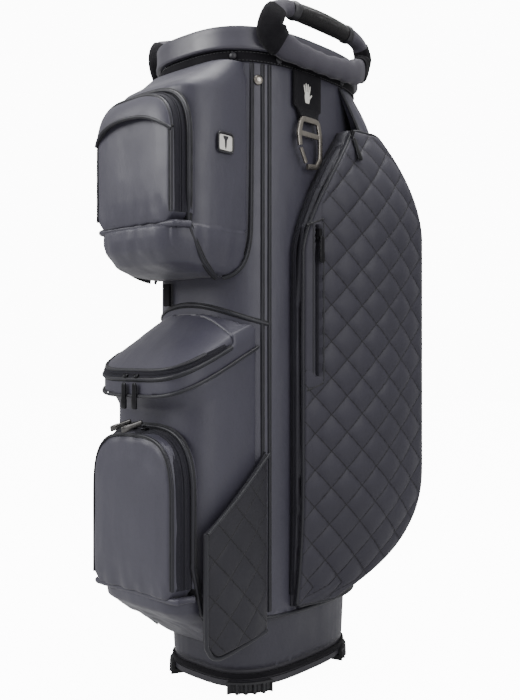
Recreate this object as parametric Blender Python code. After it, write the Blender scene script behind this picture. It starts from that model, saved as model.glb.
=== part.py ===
"""Golf cart bag: an oval leather body on a moulded boot, with a divider top, pockets and two lift handles.

Metres, +Z up. The front, with the cooler and ball pockets, faces -Y, and the origin
is under the middle of the bag.
"""

import math

import bmesh
import bpy
from mathutils import Matrix, Vector

# Body: a rounded oval, the same all the way up
BODY_X, BODY_Y, BODY_POWER = 0.105, 0.142, 2.8
BODY_TOP, HEM_Z, WALL = 0.826, 0.098, 0.003
GAP = 0.0005
FOOTPRINT_SHIFT = 0.0217
RING_POINTS = 64

# Boot, feet and hem band
BOOT_X, BOOT_Y, BOOT_POWER = 0.0915, 0.1245, 3.0
BOOT_BOTTOM, BOOT_FLANGE, BOOT_TOP = 0.007, 0.0165, 0.030
FOOT_ANGLES, FOOT_OUT, FOOT_SLOTS = (27.0, 66.0), 0.0062, 5

# Collar, divider frame and full-length panels
COLLAR_X, COLLAR_Y, COLLAR_WALL, COLLAR_TOP = 0.112, 0.150, 0.007, 0.856
DIVIDER_Z, BAR, PANEL = (0.806, 0.846), 0.006, 0.002
ROWS_Y = (-0.078, -0.028, 0.022, 0.072)
COLUMN_X = 0.034

# Front pockets
UPPER_HALF, UPPER_FACE = 0.082, -0.212
LOWER_HALF, LOWER_FACE = 0.088, -0.210
COOLER_FACE, LID_BACK = -0.236, -0.1463
BAND_SLOPE, RIM_Z, SEAM_Z = 0.45, 0.411, 0.4985
CAVITY_BACK = -0.1465

# Side pockets: a housing on the body and a bulging door
SIDE_Z = (0.109, 0.747)
SIDE_FRONT, SIDE_BACK = -0.055, 0.150
SIDE_ROOT, GUSSET, BULGE = 0.104, 0.022, 0.052
DOOR = 0.010
VALUABLES_Y = -0.0358
SLEEVE_X = (0.0887, 0.1045)
SLEEVE_Y = (-0.204, -0.094)

# Lift handles
GRIP_Y, GRIP_Z, GRIP_X, LEG_Y = 0.066, 0.886, 0.110, 0.096

MATERIALS = {
    "leather": ((0.040, 0.042, 0.052), 0.48, 0.0),
    "quilt": ((0.034, 0.036, 0.046), 0.50, 0.0),
    "webbing": ((0.014, 0.013, 0.018), 0.85, 0.0),
    "mesh": ((0.030, 0.029, 0.036), 0.80, 0.0),
    "moulding": ((0.030, 0.031, 0.035), 0.42, 0.0),
    "rubber": ((0.018, 0.017, 0.021), 0.65, 0.0),
    "lining": ((0.020, 0.020, 0.022), 0.90, 0.0),
    "steel": ((0.38, 0.35, 0.31), 0.30, 1.0),
    "badge": ((0.55, 0.53, 0.50), 0.50, 0.0),
}


def clear_scene():
    for item in list(bpy.data.objects):
        bpy.data.objects.remove(item)


def collection(name):
    made = bpy.data.collections.new(name)
    bpy.context.scene.collection.children.link(made)
    return made


def material(name):
    colour, roughness, metallic = MATERIALS[name]
    found = bpy.data.materials.get(name)
    if found:
        return found
    made = bpy.data.materials.new(name)
    made.use_nodes = True
    shader = made.node_tree.nodes["Principled BSDF"]
    shader.inputs["Base Color"].default_value = (*colour, 1.0)
    shader.inputs["Roughness"].default_value = roughness
    shader.inputs["Metallic"].default_value = metallic
    made.diffuse_color = (*colour, 1.0)
    return made


# --- building blocks ---------------------------------------------------------------------------


def finish(name, bm, slot, origin=(0.0, 0.0, 0.0), smooth=True):
    """A bmesh in world coordinates becomes one named object with its origin at the given point."""
    bmesh.ops.recalc_face_normals(bm, faces=bm.faces)
    bmesh.ops.translate(bm, verts=bm.verts, vec=-Vector(origin))
    mesh = bpy.data.meshes.new(name)
    bm.to_mesh(mesh)
    bm.free()
    made = bpy.data.objects.new(name, mesh)
    made.location = origin
    if slot:
        mesh.materials.append(material(slot))
        PARTS.objects.link(made)
    else:
        made.hide_render = True
        made.display_type = "WIRE"
        CUTTERS.objects.link(made)
    if smooth:
        mesh.shade_smooth()
        mesh.set_sharp_from_angle(angle=math.radians(35))
    return made


def loft(rings, closed=False):
    """A closed solid through rings of equal length; closed joins the last ring to the first."""
    bm = bmesh.new()
    rows = [[bm.verts.new(point) for point in ring] for ring in rings]
    count = len(rows[0])
    pairs = list(zip(rows, rows[1:]))
    if closed:
        pairs.append((rows[-1], rows[0]))
    for low, high in pairs:
        for i in range(count):
            j = (i + 1) % count
            bm.faces.new((low[i], low[j], high[j], high[i]))
    if not closed:
        bm.faces.new(rows[0])
        bm.faces.new(rows[-1])
    return bm


def mirrored(bm, side):
    if side < 0:
        bmesh.ops.scale(bm, verts=bm.verts, vec=(-1.0, 1.0, 1.0))
    return bm


def box(low, high):
    bm = bmesh.new()
    bmesh.ops.create_cube(bm, size=1.0)
    size = [b - a for a, b in zip(low, high)]
    centre = [(a + b) / 2 for a, b in zip(low, high)]
    bmesh.ops.scale(bm, verts=bm.verts, vec=size)
    bmesh.ops.translate(bm, verts=bm.verts, vec=centre)
    return bm


def cylinder(centre, axis, radius, length, segments=20):
    bm = bmesh.new()
    bmesh.ops.create_cone(
        bm, cap_ends=True, segments=segments, radius1=radius, radius2=radius, depth=length
    )
    turn = Vector(axis).to_track_quat("Z", "Y").to_matrix().to_4x4()
    bmesh.ops.transform(bm, verts=bm.verts, matrix=Matrix.Translation(centre) @ turn)
    return bm


def boolean(target, cutter, operation="DIFFERENCE"):
    step = target.modifiers.new("cut", "BOOLEAN")
    step.operation = operation
    step.solver = "EXACT"
    step.object = cutter


def rod(name, points, radius, slot, origin=(0.0, 0.0, 0.0), resolution=2, cyclic=False, smooth=4):
    """A bent bar: a poly curve with filled caps, turned into a mesh with its caps welded."""
    route = smooth_route(points, smooth, cyclic)
    curve = bpy.data.curves.new(name, "CURVE")
    curve.dimensions = "3D"
    curve.bevel_depth = radius
    curve.bevel_resolution = resolution
    curve.use_fill_caps = not cyclic
    curve.render_resolution_u = 0
    spline = curve.splines.new("POLY")
    spline.points.add(len(route) - 1)
    for slot_point, point in zip(spline.points, route):
        slot_point.co = (*(Vector(point) - Vector(origin)), 1.0)
    spline.use_cyclic_u = cyclic
    bar = bpy.data.objects.new(name + "_curve", curve)
    PARTS.objects.link(bar)
    bpy.context.view_layer.update()
    graph = bpy.context.evaluated_depsgraph_get()
    mesh = bpy.data.meshes.new_from_object(bar.evaluated_get(graph))
    bm = bmesh.new()
    bm.from_mesh(mesh)
    bmesh.ops.remove_doubles(bm, verts=bm.verts, dist=0.00002)
    bmesh.ops.translate(bm, verts=bm.verts, vec=Vector(origin))
    bpy.data.objects.remove(bar)
    bpy.data.curves.remove(curve)
    bpy.data.meshes.remove(mesh)
    return finish(name, bm, slot, origin)


def smooth_route(points, steps, cyclic=False):
    """Catmull-Rom points through the given ones."""
    points = [Vector(p) for p in points]
    if steps <= 1:
        return points
    count = len(points)
    spans = count if cyclic else count - 1
    route = []
    for i in range(spans):
        if cyclic:
            a, b, c, d = (points[(i + k) % count] for k in (-1, 0, 1, 2))
        else:
            a, b = points[max(i - 1, 0)], points[i]
            c, d = points[i + 1], points[min(i + 2, count - 1)]
        for k in range(steps):
            t = k / steps
            route.append(
                0.5 * (2 * b + (c - a) * t + (2 * a - 5 * b + 4 * c - d) * t * t
                       + (3 * b - a - 3 * c + d) * t ** 3)
            )
    if not cyclic:
        route.append(points[-1])
    return route


# --- the ovals -----------------------------------------------------------------------------------


def oval_ring(half_x, half_y, z, power=BODY_POWER, count=RING_POINTS):
    ring = []
    for i in range(count):
        angle = 2 * math.pi * i / count
        c, s = math.cos(angle), math.sin(angle)
        ring.append((
            half_x * math.copysign(abs(c) ** (2 / power), c),
            half_y * math.copysign(abs(s) ** (2 / power), s),
            z,
        ))
    return ring


def oval_x(y, half_x=BODY_X, half_y=BODY_Y, power=BODY_POWER):
    return half_x * max(0.0, 1 - abs(y / half_y) ** power) ** (1 / power)


def oval_y(x, half_x=BODY_X, half_y=BODY_Y, power=BODY_POWER):
    return half_y * max(0.0, 1 - abs(x / half_x) ** power) ** (1 / power)


def oval_tube(outer, inner, z_low, z_high, power=BODY_POWER):
    return loft([
        oval_ring(*outer, z_low, power),
        oval_ring(*outer, z_high, power),
        oval_ring(*inner, z_high, power),
        oval_ring(*inner, z_low, power),
    ], closed=True)


def body_cutter():
    """The room the body needs: everything that lies on it is cut back to this."""
    made = loft([
        oval_ring(BODY_X + GAP, BODY_Y + GAP, z) for z in (HEM_Z - 0.002, BODY_TOP + 0.05)
    ])
    lower = loft([
        oval_ring(BOOT_X + 0.0035, BOOT_Y + 0.0055, -0.01),
        oval_ring(BOOT_X + 0.0035, BOOT_Y + 0.0055, HEM_Z + 0.001),
    ])
    upper_body = finish("cut_body", made, None)
    skirt = finish("cut_skirt", lower, None)
    boolean(upper_body, skirt, "UNION")
    return upper_body


# --- boot and body -------------------------------------------------------------------------------


def boot():
    rings = [
        oval_ring(BOOT_X - 0.003, BOOT_Y - 0.003, BOOT_BOTTOM, BOOT_POWER),
        oval_ring(BOOT_X, BOOT_Y, BOOT_BOTTOM + 0.003, BOOT_POWER),
        oval_ring(BOOT_X, BOOT_Y, BOOT_FLANGE, BOOT_POWER),
        oval_ring(BOOT_X - 0.002, BOOT_Y - 0.002, BOOT_FLANGE, BOOT_POWER),
        oval_ring(BOOT_X - 0.002, BOOT_Y - 0.002, BOOT_TOP, BOOT_POWER),
    ]
    finish("base_boot", loft(rings), "moulding")
    outer = (BOOT_X + 0.0015, BOOT_Y + 0.0015)
    inner = (BOOT_X - 0.0015, BOOT_Y - 0.0015)
    band = oval_tube(outer, inner, BOOT_FLANGE + GAP, 0.0262, BOOT_POWER)
    finish("base_band", band, "webbing")


def feet():
    """Each foot wraps a rounded corner of the boot from below, with slots in its outer wall."""
    number = 0
    for side_x, side_y in ((1, -1), (1, 1), (-1, 1), (-1, -1)):
        number += 1
        rings = []
        stations = FOOT_SLOTS * 4
        for i in range(stations + 1):
            slotted = i % 4 in (1, 2) and i < stations
            nudge = 0.28 if i % 4 in (1, 3) and i < stations else 0.0
            share = (i + (nudge if i % 4 == 3 else -nudge)) / stations
            angle = math.radians(FOOT_ANGLES[0] + (FOOT_ANGLES[1] - FOOT_ANGLES[0]) * share)
            c, s = math.cos(angle), math.sin(angle)
            x = BOOT_X * c ** (2 / BOOT_POWER)
            y = BOOT_Y * s ** (2 / BOOT_POWER)
            out = Vector((x ** 2 / BOOT_X ** 3, y ** 2 / BOOT_Y ** 3)).normalized()
            wall = 0.0024 if slotted else FOOT_OUT
            floor = 0.0030 if slotted else 0.0
            profile = (
                (-0.014, 0.0), (wall - 0.002, 0.0), (wall - 0.002, floor), (wall, floor + 0.0005),
                (wall - 0.0004, 0.0130), (FOOT_OUT - 0.0006, 0.0133), (FOOT_OUT - 0.0008, 0.0160),
                (0.0006, 0.0160), (0.0006, BOOT_BOTTOM - GAP), (-0.014, BOOT_BOTTOM - GAP),
            )
            rings.append([
                (side_x * (x + out.x * away), side_y * (y + out.y * away), z) for away, z in profile
            ])
        centre = (side_x * 0.070, side_y * 0.098, 0.008)
        finish(f"base_foot_{number}", loft(rings), "rubber", centre)


def body():
    low_x, low_y = BOOT_X - 0.001, BOOT_Y - 0.001
    outer = [
        oval_ring(low_x, low_y, BOOT_TOP + GAP, BOOT_POWER),
        oval_ring(low_x + 0.002, low_y + 0.004, HEM_Z - 0.0005, BOOT_POWER),
        oval_ring(BODY_X - 0.002, BODY_Y - 0.002, HEM_Z),
        oval_ring(BODY_X, BODY_Y, HEM_Z + 0.004),
        oval_ring(BODY_X, BODY_Y, BODY_TOP),
    ]
    inner = [
        oval_ring(BODY_X - WALL, BODY_Y - WALL, BODY_TOP),
        oval_ring(BODY_X - WALL, BODY_Y - WALL, HEM_Z + 0.010),
        oval_ring(low_x - WALL, low_y - WALL, HEM_Z - 0.010, BOOT_POWER),
        oval_ring(low_x - WALL, low_y - WALL, BOOT_TOP + GAP, BOOT_POWER),
    ]
    finish("body_shell", loft(outer + inner, closed=True), "leather")
    pad = (BOOT_X - 0.0055, BOOT_Y - 0.0055)
    floor = [oval_ring(*pad, z, BOOT_POWER, 40) for z in (BOOT_TOP + GAP, 0.0345)]
    finish("floor_pad", loft(floor), "lining")
    spine = []
    for z in (0.125, 0.135, 0.765, 0.775):
        inset = 0.006 if z in (0.125, 0.775) else 0.0
        half = 0.044 - inset
        front = [(x * half / 4, oval_y(x * half / 4) + 0.001, z) for x in range(-4, 5)]
        back = [(x, oval_y(x) + 0.0065 - inset * 0.4, z) for x, _, _ in reversed(front)]
        spine.append(front + back)
    finish("spine_pad", loft(spine), "mesh")


def collar():
    top = COLLAR_TOP
    inner = (COLLAR_X - COLLAR_WALL, COLLAR_Y - COLLAR_WALL)
    rings = [
        oval_ring(COLLAR_X - 0.001, COLLAR_Y - 0.001, BODY_TOP + GAP),
        oval_ring(COLLAR_X, COLLAR_Y, BODY_TOP + 0.003),
        oval_ring(COLLAR_X + 0.001, COLLAR_Y + 0.001, top - 0.004),
        oval_ring(COLLAR_X - 0.001, COLLAR_Y - 0.001, top),
        oval_ring(inner[0] + 0.002, inner[1] + 0.002, top),
        oval_ring(*inner, top - 0.003),
        oval_ring(*inner, BODY_TOP + GAP),
    ]
    finish("top_collar", loft(rings, closed=True), "moulding")
    band = oval_tube(
        (BODY_X + 0.0026, BODY_Y + 0.0026), (BODY_X + GAP, BODY_Y + GAP), 0.812, BODY_TOP - GAP
    )
    finish("collar_band", band, "webbing")


def bars(z_low, z_high, reach):
    """The bars between the club ways: four across, two along and one in the back row."""
    made = []
    for y in ROWS_Y:
        across = oval_x(y, *reach) + 0.002
        made.append(box((-across, y - BAR / 2, z_low), (across, y + BAR / 2, z_high)))
    along = oval_y(COLUMN_X, *reach) + 0.002
    last = oval_y(0.0, *reach) + 0.002
    for x in (-COLUMN_X, COLUMN_X):
        made.append(box((x - BAR / 2, -along, z_low), (x + BAR / 2, ROWS_Y[-1], z_high)))
    made.append(box((-BAR / 2, ROWS_Y[-1], z_low), (BAR / 2, last, z_high)))
    return made


def dividers():
    low, high = DIVIDER_Z
    outer = (BODY_X - WALL - GAP - 0.0005, BODY_Y - WALL - GAP - 0.0005)
    inner = (outer[0] - 0.005, outer[1] - 0.005)
    frame = finish("divider_frame", oval_tube(outer, inner, low, high), "moulding", smooth=False)
    for number, bm in enumerate(bars(low + 0.001, high - 0.001, inner)):
        boolean(frame, finish(f"cut_bar_{number}", bm, None, smooth=False), "UNION")
    for number, y in enumerate(ROWS_Y, 1):
        half = oval_x(y, BOOT_X - WALL, BOOT_Y - WALL, BOOT_POWER) - 0.004
        panel = box((-half, y - PANEL / 2, 0.036), (half, y + PANEL / 2, low - GAP))
        finish(f"divider_panel_{number}", panel, "lining", smooth=False)


# --- fastenings ----------------------------------------------------------------------------------


def outward(y, half_x=BODY_X, half_y=BODY_Y):
    """The body's outward direction on the right side, at depth y."""
    step = 0.001
    slope = (oval_x(y + step, half_x, half_y) - oval_x(y - step, half_x, half_y)) / (2 * step)
    return Vector((1.0, -slope, 0.0)).normalized()


def dome(name, foot, axis, radius, height, slot):
    bm = bmesh.new()
    bmesh.ops.create_uvsphere(bm, u_segments=14, v_segments=8, radius=radius)
    bmesh.ops.bisect_plane(
        bm, geom=bm.verts[:] + bm.edges[:] + bm.faces[:], plane_co=(0, 0, 0), plane_no=(0, 0, -1),
        clear_outer=True,
    )
    rim = [edge for edge in bm.edges if edge.is_boundary]
    bmesh.ops.holes_fill(bm, edges=rim)
    bmesh.ops.scale(bm, verts=bm.verts, vec=(1.0, 1.0, height / radius))
    turn = Vector(axis).to_track_quat("Z", "Y").to_matrix().to_4x4()
    bmesh.ops.transform(bm, verts=bm.verts, matrix=Matrix.Translation(foot) @ turn)
    return finish(name, bm, slot, tuple(foot))


def rivets():
    """Domed rivets through the band, three on each side."""
    band = (BODY_X + 0.0026, BODY_Y + 0.0026)
    number = 0
    for side in (1, -1):
        for y in (-0.128, -0.076, 0.052):
            number += 1
            axis = outward(y, *band)
            foot = Vector((oval_x(y, *band), y, 0.8185)) + axis * 0.0009
            foot.x *= side
            dome(f"collar_rivet_{number}", foot, (axis.x * side, axis.y, 0.0), 0.0048, 0.003, "moulding")
    y = -0.1015
    axis = outward(y)
    foot = Vector((oval_x(y), y, 0.790)) + axis * 0.0009
    dome("press_stud", foot, axis, 0.0066, 0.003, "steel")


def handles():
    for side, word in ((1, "right"), (-1, "left")):
        root = oval_x(LEG_Y, COLLAR_X, COLLAR_Y) + 0.0115
        half = [
            (root, LEG_Y, 0.806), (root + 0.001, LEG_Y, 0.835), (root + 0.001, 0.092, 0.858),
            (GRIP_X, 0.080, 0.878), (GRIP_X, GRIP_Y, GRIP_Z), (GRIP_X, GRIP_Y - 0.012, GRIP_Z),
        ]
        route = [(x, -y, z) for x, y, z in half] + [(x, y, z) for x, y, z in reversed(half)]
        route = [(side * x, y, z) for x, y, z in route]
        rod(f"handle_frame_{word}", route, 0.0070, "webbing", resolution=2, smooth=3)
        grip = []
        for radius, y in (
            (0.0078, -1), (0.0100, -1), (0.0108, -0.93), (0.0108, 0.93), (0.0100, 1), (0.0078, 1)
        ):
            grip.append(turned_ring(side * GRIP_X, y * (GRIP_Y - 0.012), GRIP_Z, radius))
        finish(f"handle_grip_{word}", loft(grip, closed=True), "rubber")
        pad = []
        for k in range(13):
            y = -0.084 + 0.168 * k / 12
            axis = outward(y, COLLAR_X, COLLAR_Y)
            foot = Vector((oval_x(y, COLLAR_X, COLLAR_Y), y, 0.0))
            drop = 0.006 * math.cos(math.pi * (k - 6) / 12)
            ring = []
            for out, z in (
                (0.0018, 0.812 - drop), (0.0060, 0.814 - drop), (0.0060, 0.836), (0.0018, 0.838)
            ):
                point = foot + axis * out
                ring.append((side * point.x, point.y, z))
            pad.append(ring)
        finish(f"handle_pad_{word}", loft(pad), "mesh")


def turned_ring(x, y, z, radius, count=20):
    """A ring about an axis along Y."""
    return [
        (x + radius * math.cos(2 * math.pi * i / count), y, z + radius * math.sin(2 * math.pi * i / count))
        for i in range(count)
    ]


# --- front pockets -------------------------------------------------------------------------------


def front_ring(half, face, z, slope=0.0, power=4.5, count=28, root=-0.100, back=-0.070):
    """A pocket's section: a squarish bow in front, and two points inside the body behind."""
    ring = []
    for i in range(count + 1):
        angle = -math.pi * i / count
        c, s = math.cos(angle), math.sin(angle)
        x = half * math.copysign(abs(c) ** (2 / power), c)
        y = root + (root - face) * math.copysign(abs(s) ** (2 / power), s)
        ring.append((x, y, z + slope * (y - face)))
    ring.append((-half * 0.8, back, z + slope * (back - face)))
    ring.append((half * 0.8, back, z + slope * (back - face)))
    return ring


def arch(half, z_low, z_high, count=10, power=3.2, foot=0.012):
    """A door's outline, seen from the front: rounded feet and an arched top, from right to left."""
    spring = z_low + 0.55 * (z_high - z_low)
    points = []
    for i in range(4):
        angle = -math.pi / 2 + math.pi / 2 * i / 3
        points.append((half - foot + foot * math.cos(angle), z_low + foot + foot * math.sin(angle)))
    for i in range(count + 1):
        angle = math.pi / 2 * i / count
        points.append((
            half * math.cos(angle) ** (2 / power),
            spring + (z_high - spring) * math.sin(angle) ** (2 / power),
        ))
    return points + [(-x, z) for x, z in reversed(points[:-1])]


def arch_slab(half, z_low, z_high, y_back, y_front, crown, cover=0.003):
    """A door or a plug: an arched outline drawn towards -Y, rounded over and crowned in front."""
    rings = []
    centre_z = (z_low + z_high) / 2
    layers = (
        (0.0, y_back), (0.0, y_front + cover), (cover * 0.35, y_front + cover * 0.3), (cover, y_front),
    )
    for inset, y in layers:
        outline = arch(half - inset, z_low + inset, z_high - inset)
        rings.append([(x, y, z) for x, z in outline])
    for share, rise in ((0.72, 0.62), (0.38, 0.92)):
        outline = arch(half, z_low, z_high)
        rings.append([
            (x * share, y_front - crown * rise, centre_z + (z - centre_z) * share) for x, z in outline
        ])
    return rings


def plug(half, z_low, z_high, y_back, y_front):
    outline = arch(half, z_low, z_high)
    return loft([[(x, y, z) for x, z in outline] for y in (y_back, y_front)])


def upper_pocket(cutter):
    stations = (
        (0.537, 0.062, -0.168), (0.541, 0.071, -0.197), (0.550, 0.077, -0.223),
        (0.566, 0.079, -0.237), (0.580, 0.080, -0.2405), (0.5945, 0.080, -0.2405),
        (0.5950, UPPER_HALF, UPPER_FACE), (0.767, UPPER_HALF, UPPER_FACE), (0.776, UPPER_HALF, -0.203),
        (0.793, UPPER_HALF - 0.001, -0.174), (0.8115, UPPER_HALF - 0.003, -0.151),
    )
    housing = finish(
        "upper_pocket_housing", loft([front_ring(h, f, z) for z, h, f in stations]), "leather"
    )
    boolean(housing, cutter)
    hollow = finish("cut_upper", plug(0.066, 0.604, 0.728, CAVITY_BACK, -0.26), None)
    boolean(housing, hollow)
    door = arch_slab(0.0755, 0.5965, 0.739, UPPER_FACE - GAP, -0.2355, 0.0045)
    finish("upper_pocket_door", loft(door), "leather", (0.0, -0.240, 0.5965))
    hood = []
    for z, half, face in (
        (0.7395, 0.0800, -0.248), (0.7500, 0.0797, -0.247), (0.7595, 0.0765, -0.240),
        (0.7650, 0.0710, -0.227), (0.7670, 0.0620, -0.217),
    ):
        hood.append(hood_ring(half, face, z))
    finish("upper_pocket_hood", loft(hood), "leather", (0.0, -0.240, 0.5965))
    badge = box((UPPER_HALF + GAP, -0.165, 0.690), (UPPER_HALF + 0.0022, -0.147, 0.712))
    finish("tee_badge", badge, "badge", (UPPER_HALF, -0.156, 0.701))
    tag = box((-0.042, -0.1475, 0.503), (-0.030, -0.1430, 0.533))
    finish("pocket_tag", tag, "webbing", smooth=False)


def hood_ring(half, face, z, power=3.6, count=24):
    root = UPPER_FACE - GAP
    ring = []
    for i in range(count + 1):
        angle = -math.pi * i / count
        c, s = math.cos(angle), math.sin(angle)
        x = half * math.copysign(abs(c) ** (2 / power), c)
        ring.append((x, root - (root - face) * abs(s) ** (2 / power), z))
    return ring


def lid_ring(share, drop=0.0):
    """From the lid's rim to its seam: each point slides back towards the body's front as share grows."""
    ring = []
    for x, y, z in front_ring(LOWER_HALF - 0.002, COOLER_FACE + 0.003, RIM_Z + 0.009, BAND_SLOPE)[:-2]:
        seam_x = x * (1 - 0.04 * share)
        seam_y = 0.004 - oval_y(seam_x)
        seam_z = SEAM_Z - (SEAM_Z - 0.476) * (seam_x / LOWER_HALF) ** 2
        swell = 0.004 * math.sin(math.pi * share)
        ring.append((
            x + (seam_x - x) * share, y + (seam_y - y) * share, z + (seam_z - z) * share + swell - drop
        ))
    ring.append((-LOWER_HALF * 0.8, -0.070, ring[-1][2]))
    ring.append((LOWER_HALF * 0.8, -0.070, ring[-1][2]))
    return ring


def cooler_well():
    """The insulated space, which reaches down into the housing below the cooler's rim."""
    rings = [front_ring(0.076, -0.202, z, root=-0.16, back=CAVITY_BACK - 0.001) for z in (0.345, 0.480)]
    return finish("cut_cooler_well", loft(rings), None)


def cooler(cutter, well):
    """The insulated box, cut away under its sloping lid, and the lid, which tapers out at the sides."""
    base = front_ring(LOWER_HALF, COOLER_FACE, 0.3875, BAND_SLOPE)
    shelf = front_ring(LOWER_HALF, COOLER_FACE, RIM_Z - GAP, BAND_SLOPE)
    rim = front_ring(LOWER_HALF, COOLER_FACE, RIM_Z, BAND_SLOPE)
    top = [lid_ring(share) for share in (0.0, 0.08, 0.3, 0.6, 1.0)]
    box_body = finish("cooler_box", loft([base, shelf] + top), "leather")
    spread = 0.03
    room = front_ring(
        LOWER_HALF + spread, COOLER_FACE - spread, RIM_Z - GAP - spread * BAND_SLOPE, BAND_SLOPE
    )
    roof = front_ring(LOWER_HALF + spread, COOLER_FACE - spread, 0.600)
    lid_room = finish("cut_lid_room", loft([room, roof]), None)
    behind = finish("cut_behind", box((-0.2, LID_BACK + 0.0008, 0.3), (0.2, 0.1, 0.7)), None)
    boolean(lid_room, behind)
    boolean(box_body, lid_room)
    boolean(box_body, cutter)
    boolean(box_body, well)
    lid = finish("cooler_lid", loft([rim] + top), "leather", (0.0, LID_BACK, SEAM_Z))
    boolean(lid, finish("cut_lid_back", box((-0.2, LID_BACK, 0.3), (0.2, 0.1, 0.7)), None))


def ball_pocket(cutter, well):
    stations = (
        (0.064, 0.066, -0.134, 0.0), (0.082, 0.076, -0.158, 0.0), (0.112, 0.084, -0.205, 0.0),
        (0.130, 0.087, -0.232, 0.0), (0.146, 0.087, -0.235, 0.0),
        (0.1465, LOWER_HALF, LOWER_FACE, 0.0),
        (0.370, LOWER_HALF, LOWER_FACE, BAND_SLOPE),
    )
    rings = [front_ring(h, f, z, s) for z, h, f, s in stations]
    rings.append(front_ring(LOWER_HALF, -0.226, 0.3870 + 0.45 * 0.010, BAND_SLOPE))
    housing = finish("ball_pocket_housing", loft(rings), "leather")
    boolean(housing, cutter)
    hollow = finish("cut_ball", plug(0.068, 0.162, 0.332, CAVITY_BACK, -0.225), None)
    boolean(housing, hollow)
    boolean(housing, well)
    door = arch_slab(0.0800, 0.1480, 0.346, LOWER_FACE - GAP, -0.238, 0.007)
    finish("ball_pocket_door", loft(door), "leather", (0.0, -0.240, 0.150))


# --- side pockets --------------------------------------------------------------------------------


def side_front(z):
    return SIDE_FRONT + 1.57 * max(0.0, z - 0.57) ** 1.6


def side_back(z):
    return SIDE_BACK - 1.247 * max(0.0, z - 0.60) ** 1.61 - 16.25 * max(0.0, 0.28 - z) ** 2.653


def side_out(y, z):
    """How far a side door's face stands out."""
    along = min(1.0, max(0.0, (y - SIDE_FRONT) / 0.175))
    swell = 1 - 0.5 * (max(0.0, z - 0.60) / 0.144) ** 2 - 0.5 * (max(0.0, 0.28 - z) / 0.171) ** 2
    return SIDE_ROOT + (GUSSET + BULGE * math.sin(math.pi / 2 * along)) * swell


def side_heights(inset=0.0):
    low, high = SIDE_Z[0] + inset, SIDE_Z[1] - inset
    steps = (0.0, 0.03, 0.07, 0.12, 0.19, 0.27, 0.45, 0.62, 0.78, 0.86, 0.92, 0.965, 1.0)
    return [low + (high - low) * step for step in steps]


def side_span(z, inset, back_inset=None, count=12):
    """Points along a side pocket at height z, evenly from front to back."""
    low, high = side_front(z) + inset, side_back(z) - (inset if back_inset is None else back_inset)
    return [low + (high - low) * i / count for i in range(count + 1)]


def side_layer(z, low, high, inset=0.0, soften=0.0):
    """A section between two depths below the door's face."""
    span = side_span(z, inset)
    front, back = [], []
    for i, y in enumerate(span):
        edge = soften if i in (0, len(span) - 1) else 0.0
        front.append((side_out(y, z) - high - edge, y, z))
        back.append((side_out(y, z) - low, y, z))
    return front + back[::-1]


def side_pockets(cutter):
    for side, word in ((1, "right"), (-1, "left")):
        rings = []
        for z in side_heights():
            span = side_span(z, 0.0)
            outer = [(side_out(y, z) - DOOR - GAP, y, z) for y in span]
            rings.append(outer + [(0.062, span[-1] - 0.012, z), (0.062, span[0] + 0.004, z)])
        housing = finish(f"side_housing_{word}", mirrored(loft(rings), side), "leather")
        boolean(housing, cutter)
        hollow = []
        for z in side_heights(0.014):
            span = side_span(z, 0.0045, 0.0145)
            outer = [(0.24, y, z) for y in span]
            hollow.append(outer + [(0.1095, span[-1], z), (0.1095, span[0], z)])
        boolean(housing, finish(f"cut_side_{word}", mirrored(loft(hollow), side), None))
        door = [side_layer(z, DOOR, 0.0, soften=0.003) for z in side_heights(0.001)]
        hinge = (side * (side_out(SIDE_BACK, 0.4) - DOOR / 2), SIDE_BACK, 0.43)
        made = finish(f"side_door_{word}", mirrored(loft(door), side), "quilt", hinge)
        if side > 0:
            slot = box((0.10, -0.0398, 0.408), (0.20, -0.0318, 0.608))
            boolean(made, finish("cut_valuables", slot, None, smooth=False))


def sleeve_top(y):
    """The mouth's slanting edge, low in front."""
    return 0.225 + (0.314 - 0.225) * (y - SLEEVE_Y[0]) / (SLEEVE_Y[1] - SLEEVE_Y[0])


def sleeve(cutter):
    """A flat open-topped sleeve on the right side of the lower front pocket."""
    low_x, high_x = SLEEVE_X
    low_y, high_y = SLEEVE_Y
    steps = 8
    section = []
    for i in range(steps + 1):
        y = low_y + (high_y - low_y) * i / steps
        edge = abs(2 * i / steps - 1) ** 3
        section.append((high_x - 0.006 * edge, y))
    section += [(low_x, high_y), (low_x, low_y)]
    foot = [(min(x, high_x - 0.003), y, 0.072 + 0.1 * (y - low_y)) for x, y in section]
    mouth = [(x, y, sleeve_top(y)) for x, y in section]
    made = finish("sleeve_right", loft([foot, mouth]), "quilt")
    boolean(made, cutter)
    room = box((low_x + 0.002, low_y + 0.006, 0.092), (high_x - 0.0025, -0.118, 0.4))
    boolean(made, finish("cut_sleeve", room, None, smooth=False))


# --- small moving pieces --------------------------------------------------------------------------


def pull(name, top, down, across, length, width, thick, slot):
    """A zip pull's tab: a flat tongue that hangs from its slider, wider at the free end."""
    top, down, across = Vector(top), Vector(down).normalized(), Vector(across).normalized()
    out = down.cross(across)
    rings = []
    for share, half, deep in (
        (0.0, 0.30, 0.7), (0.10, 0.42, 1.0), (0.55, 0.42, 1.0), (0.66, 0.5, 1.15), (0.94, 0.5, 1.15),
        (1.0, 0.36, 0.8),
    ):
        centre = top + down * (0.0015 + (length - 0.0015) * share)
        w, t = width * half, thick * deep / 2
        rings.append([
            tuple(centre + across * a * w + out * b * t) for a, b in ((-1, -1), (1, -1), (1, 1), (-1, 1))
        ])
    return finish(name, loft(rings), slot, tuple(top), smooth=False)


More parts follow.
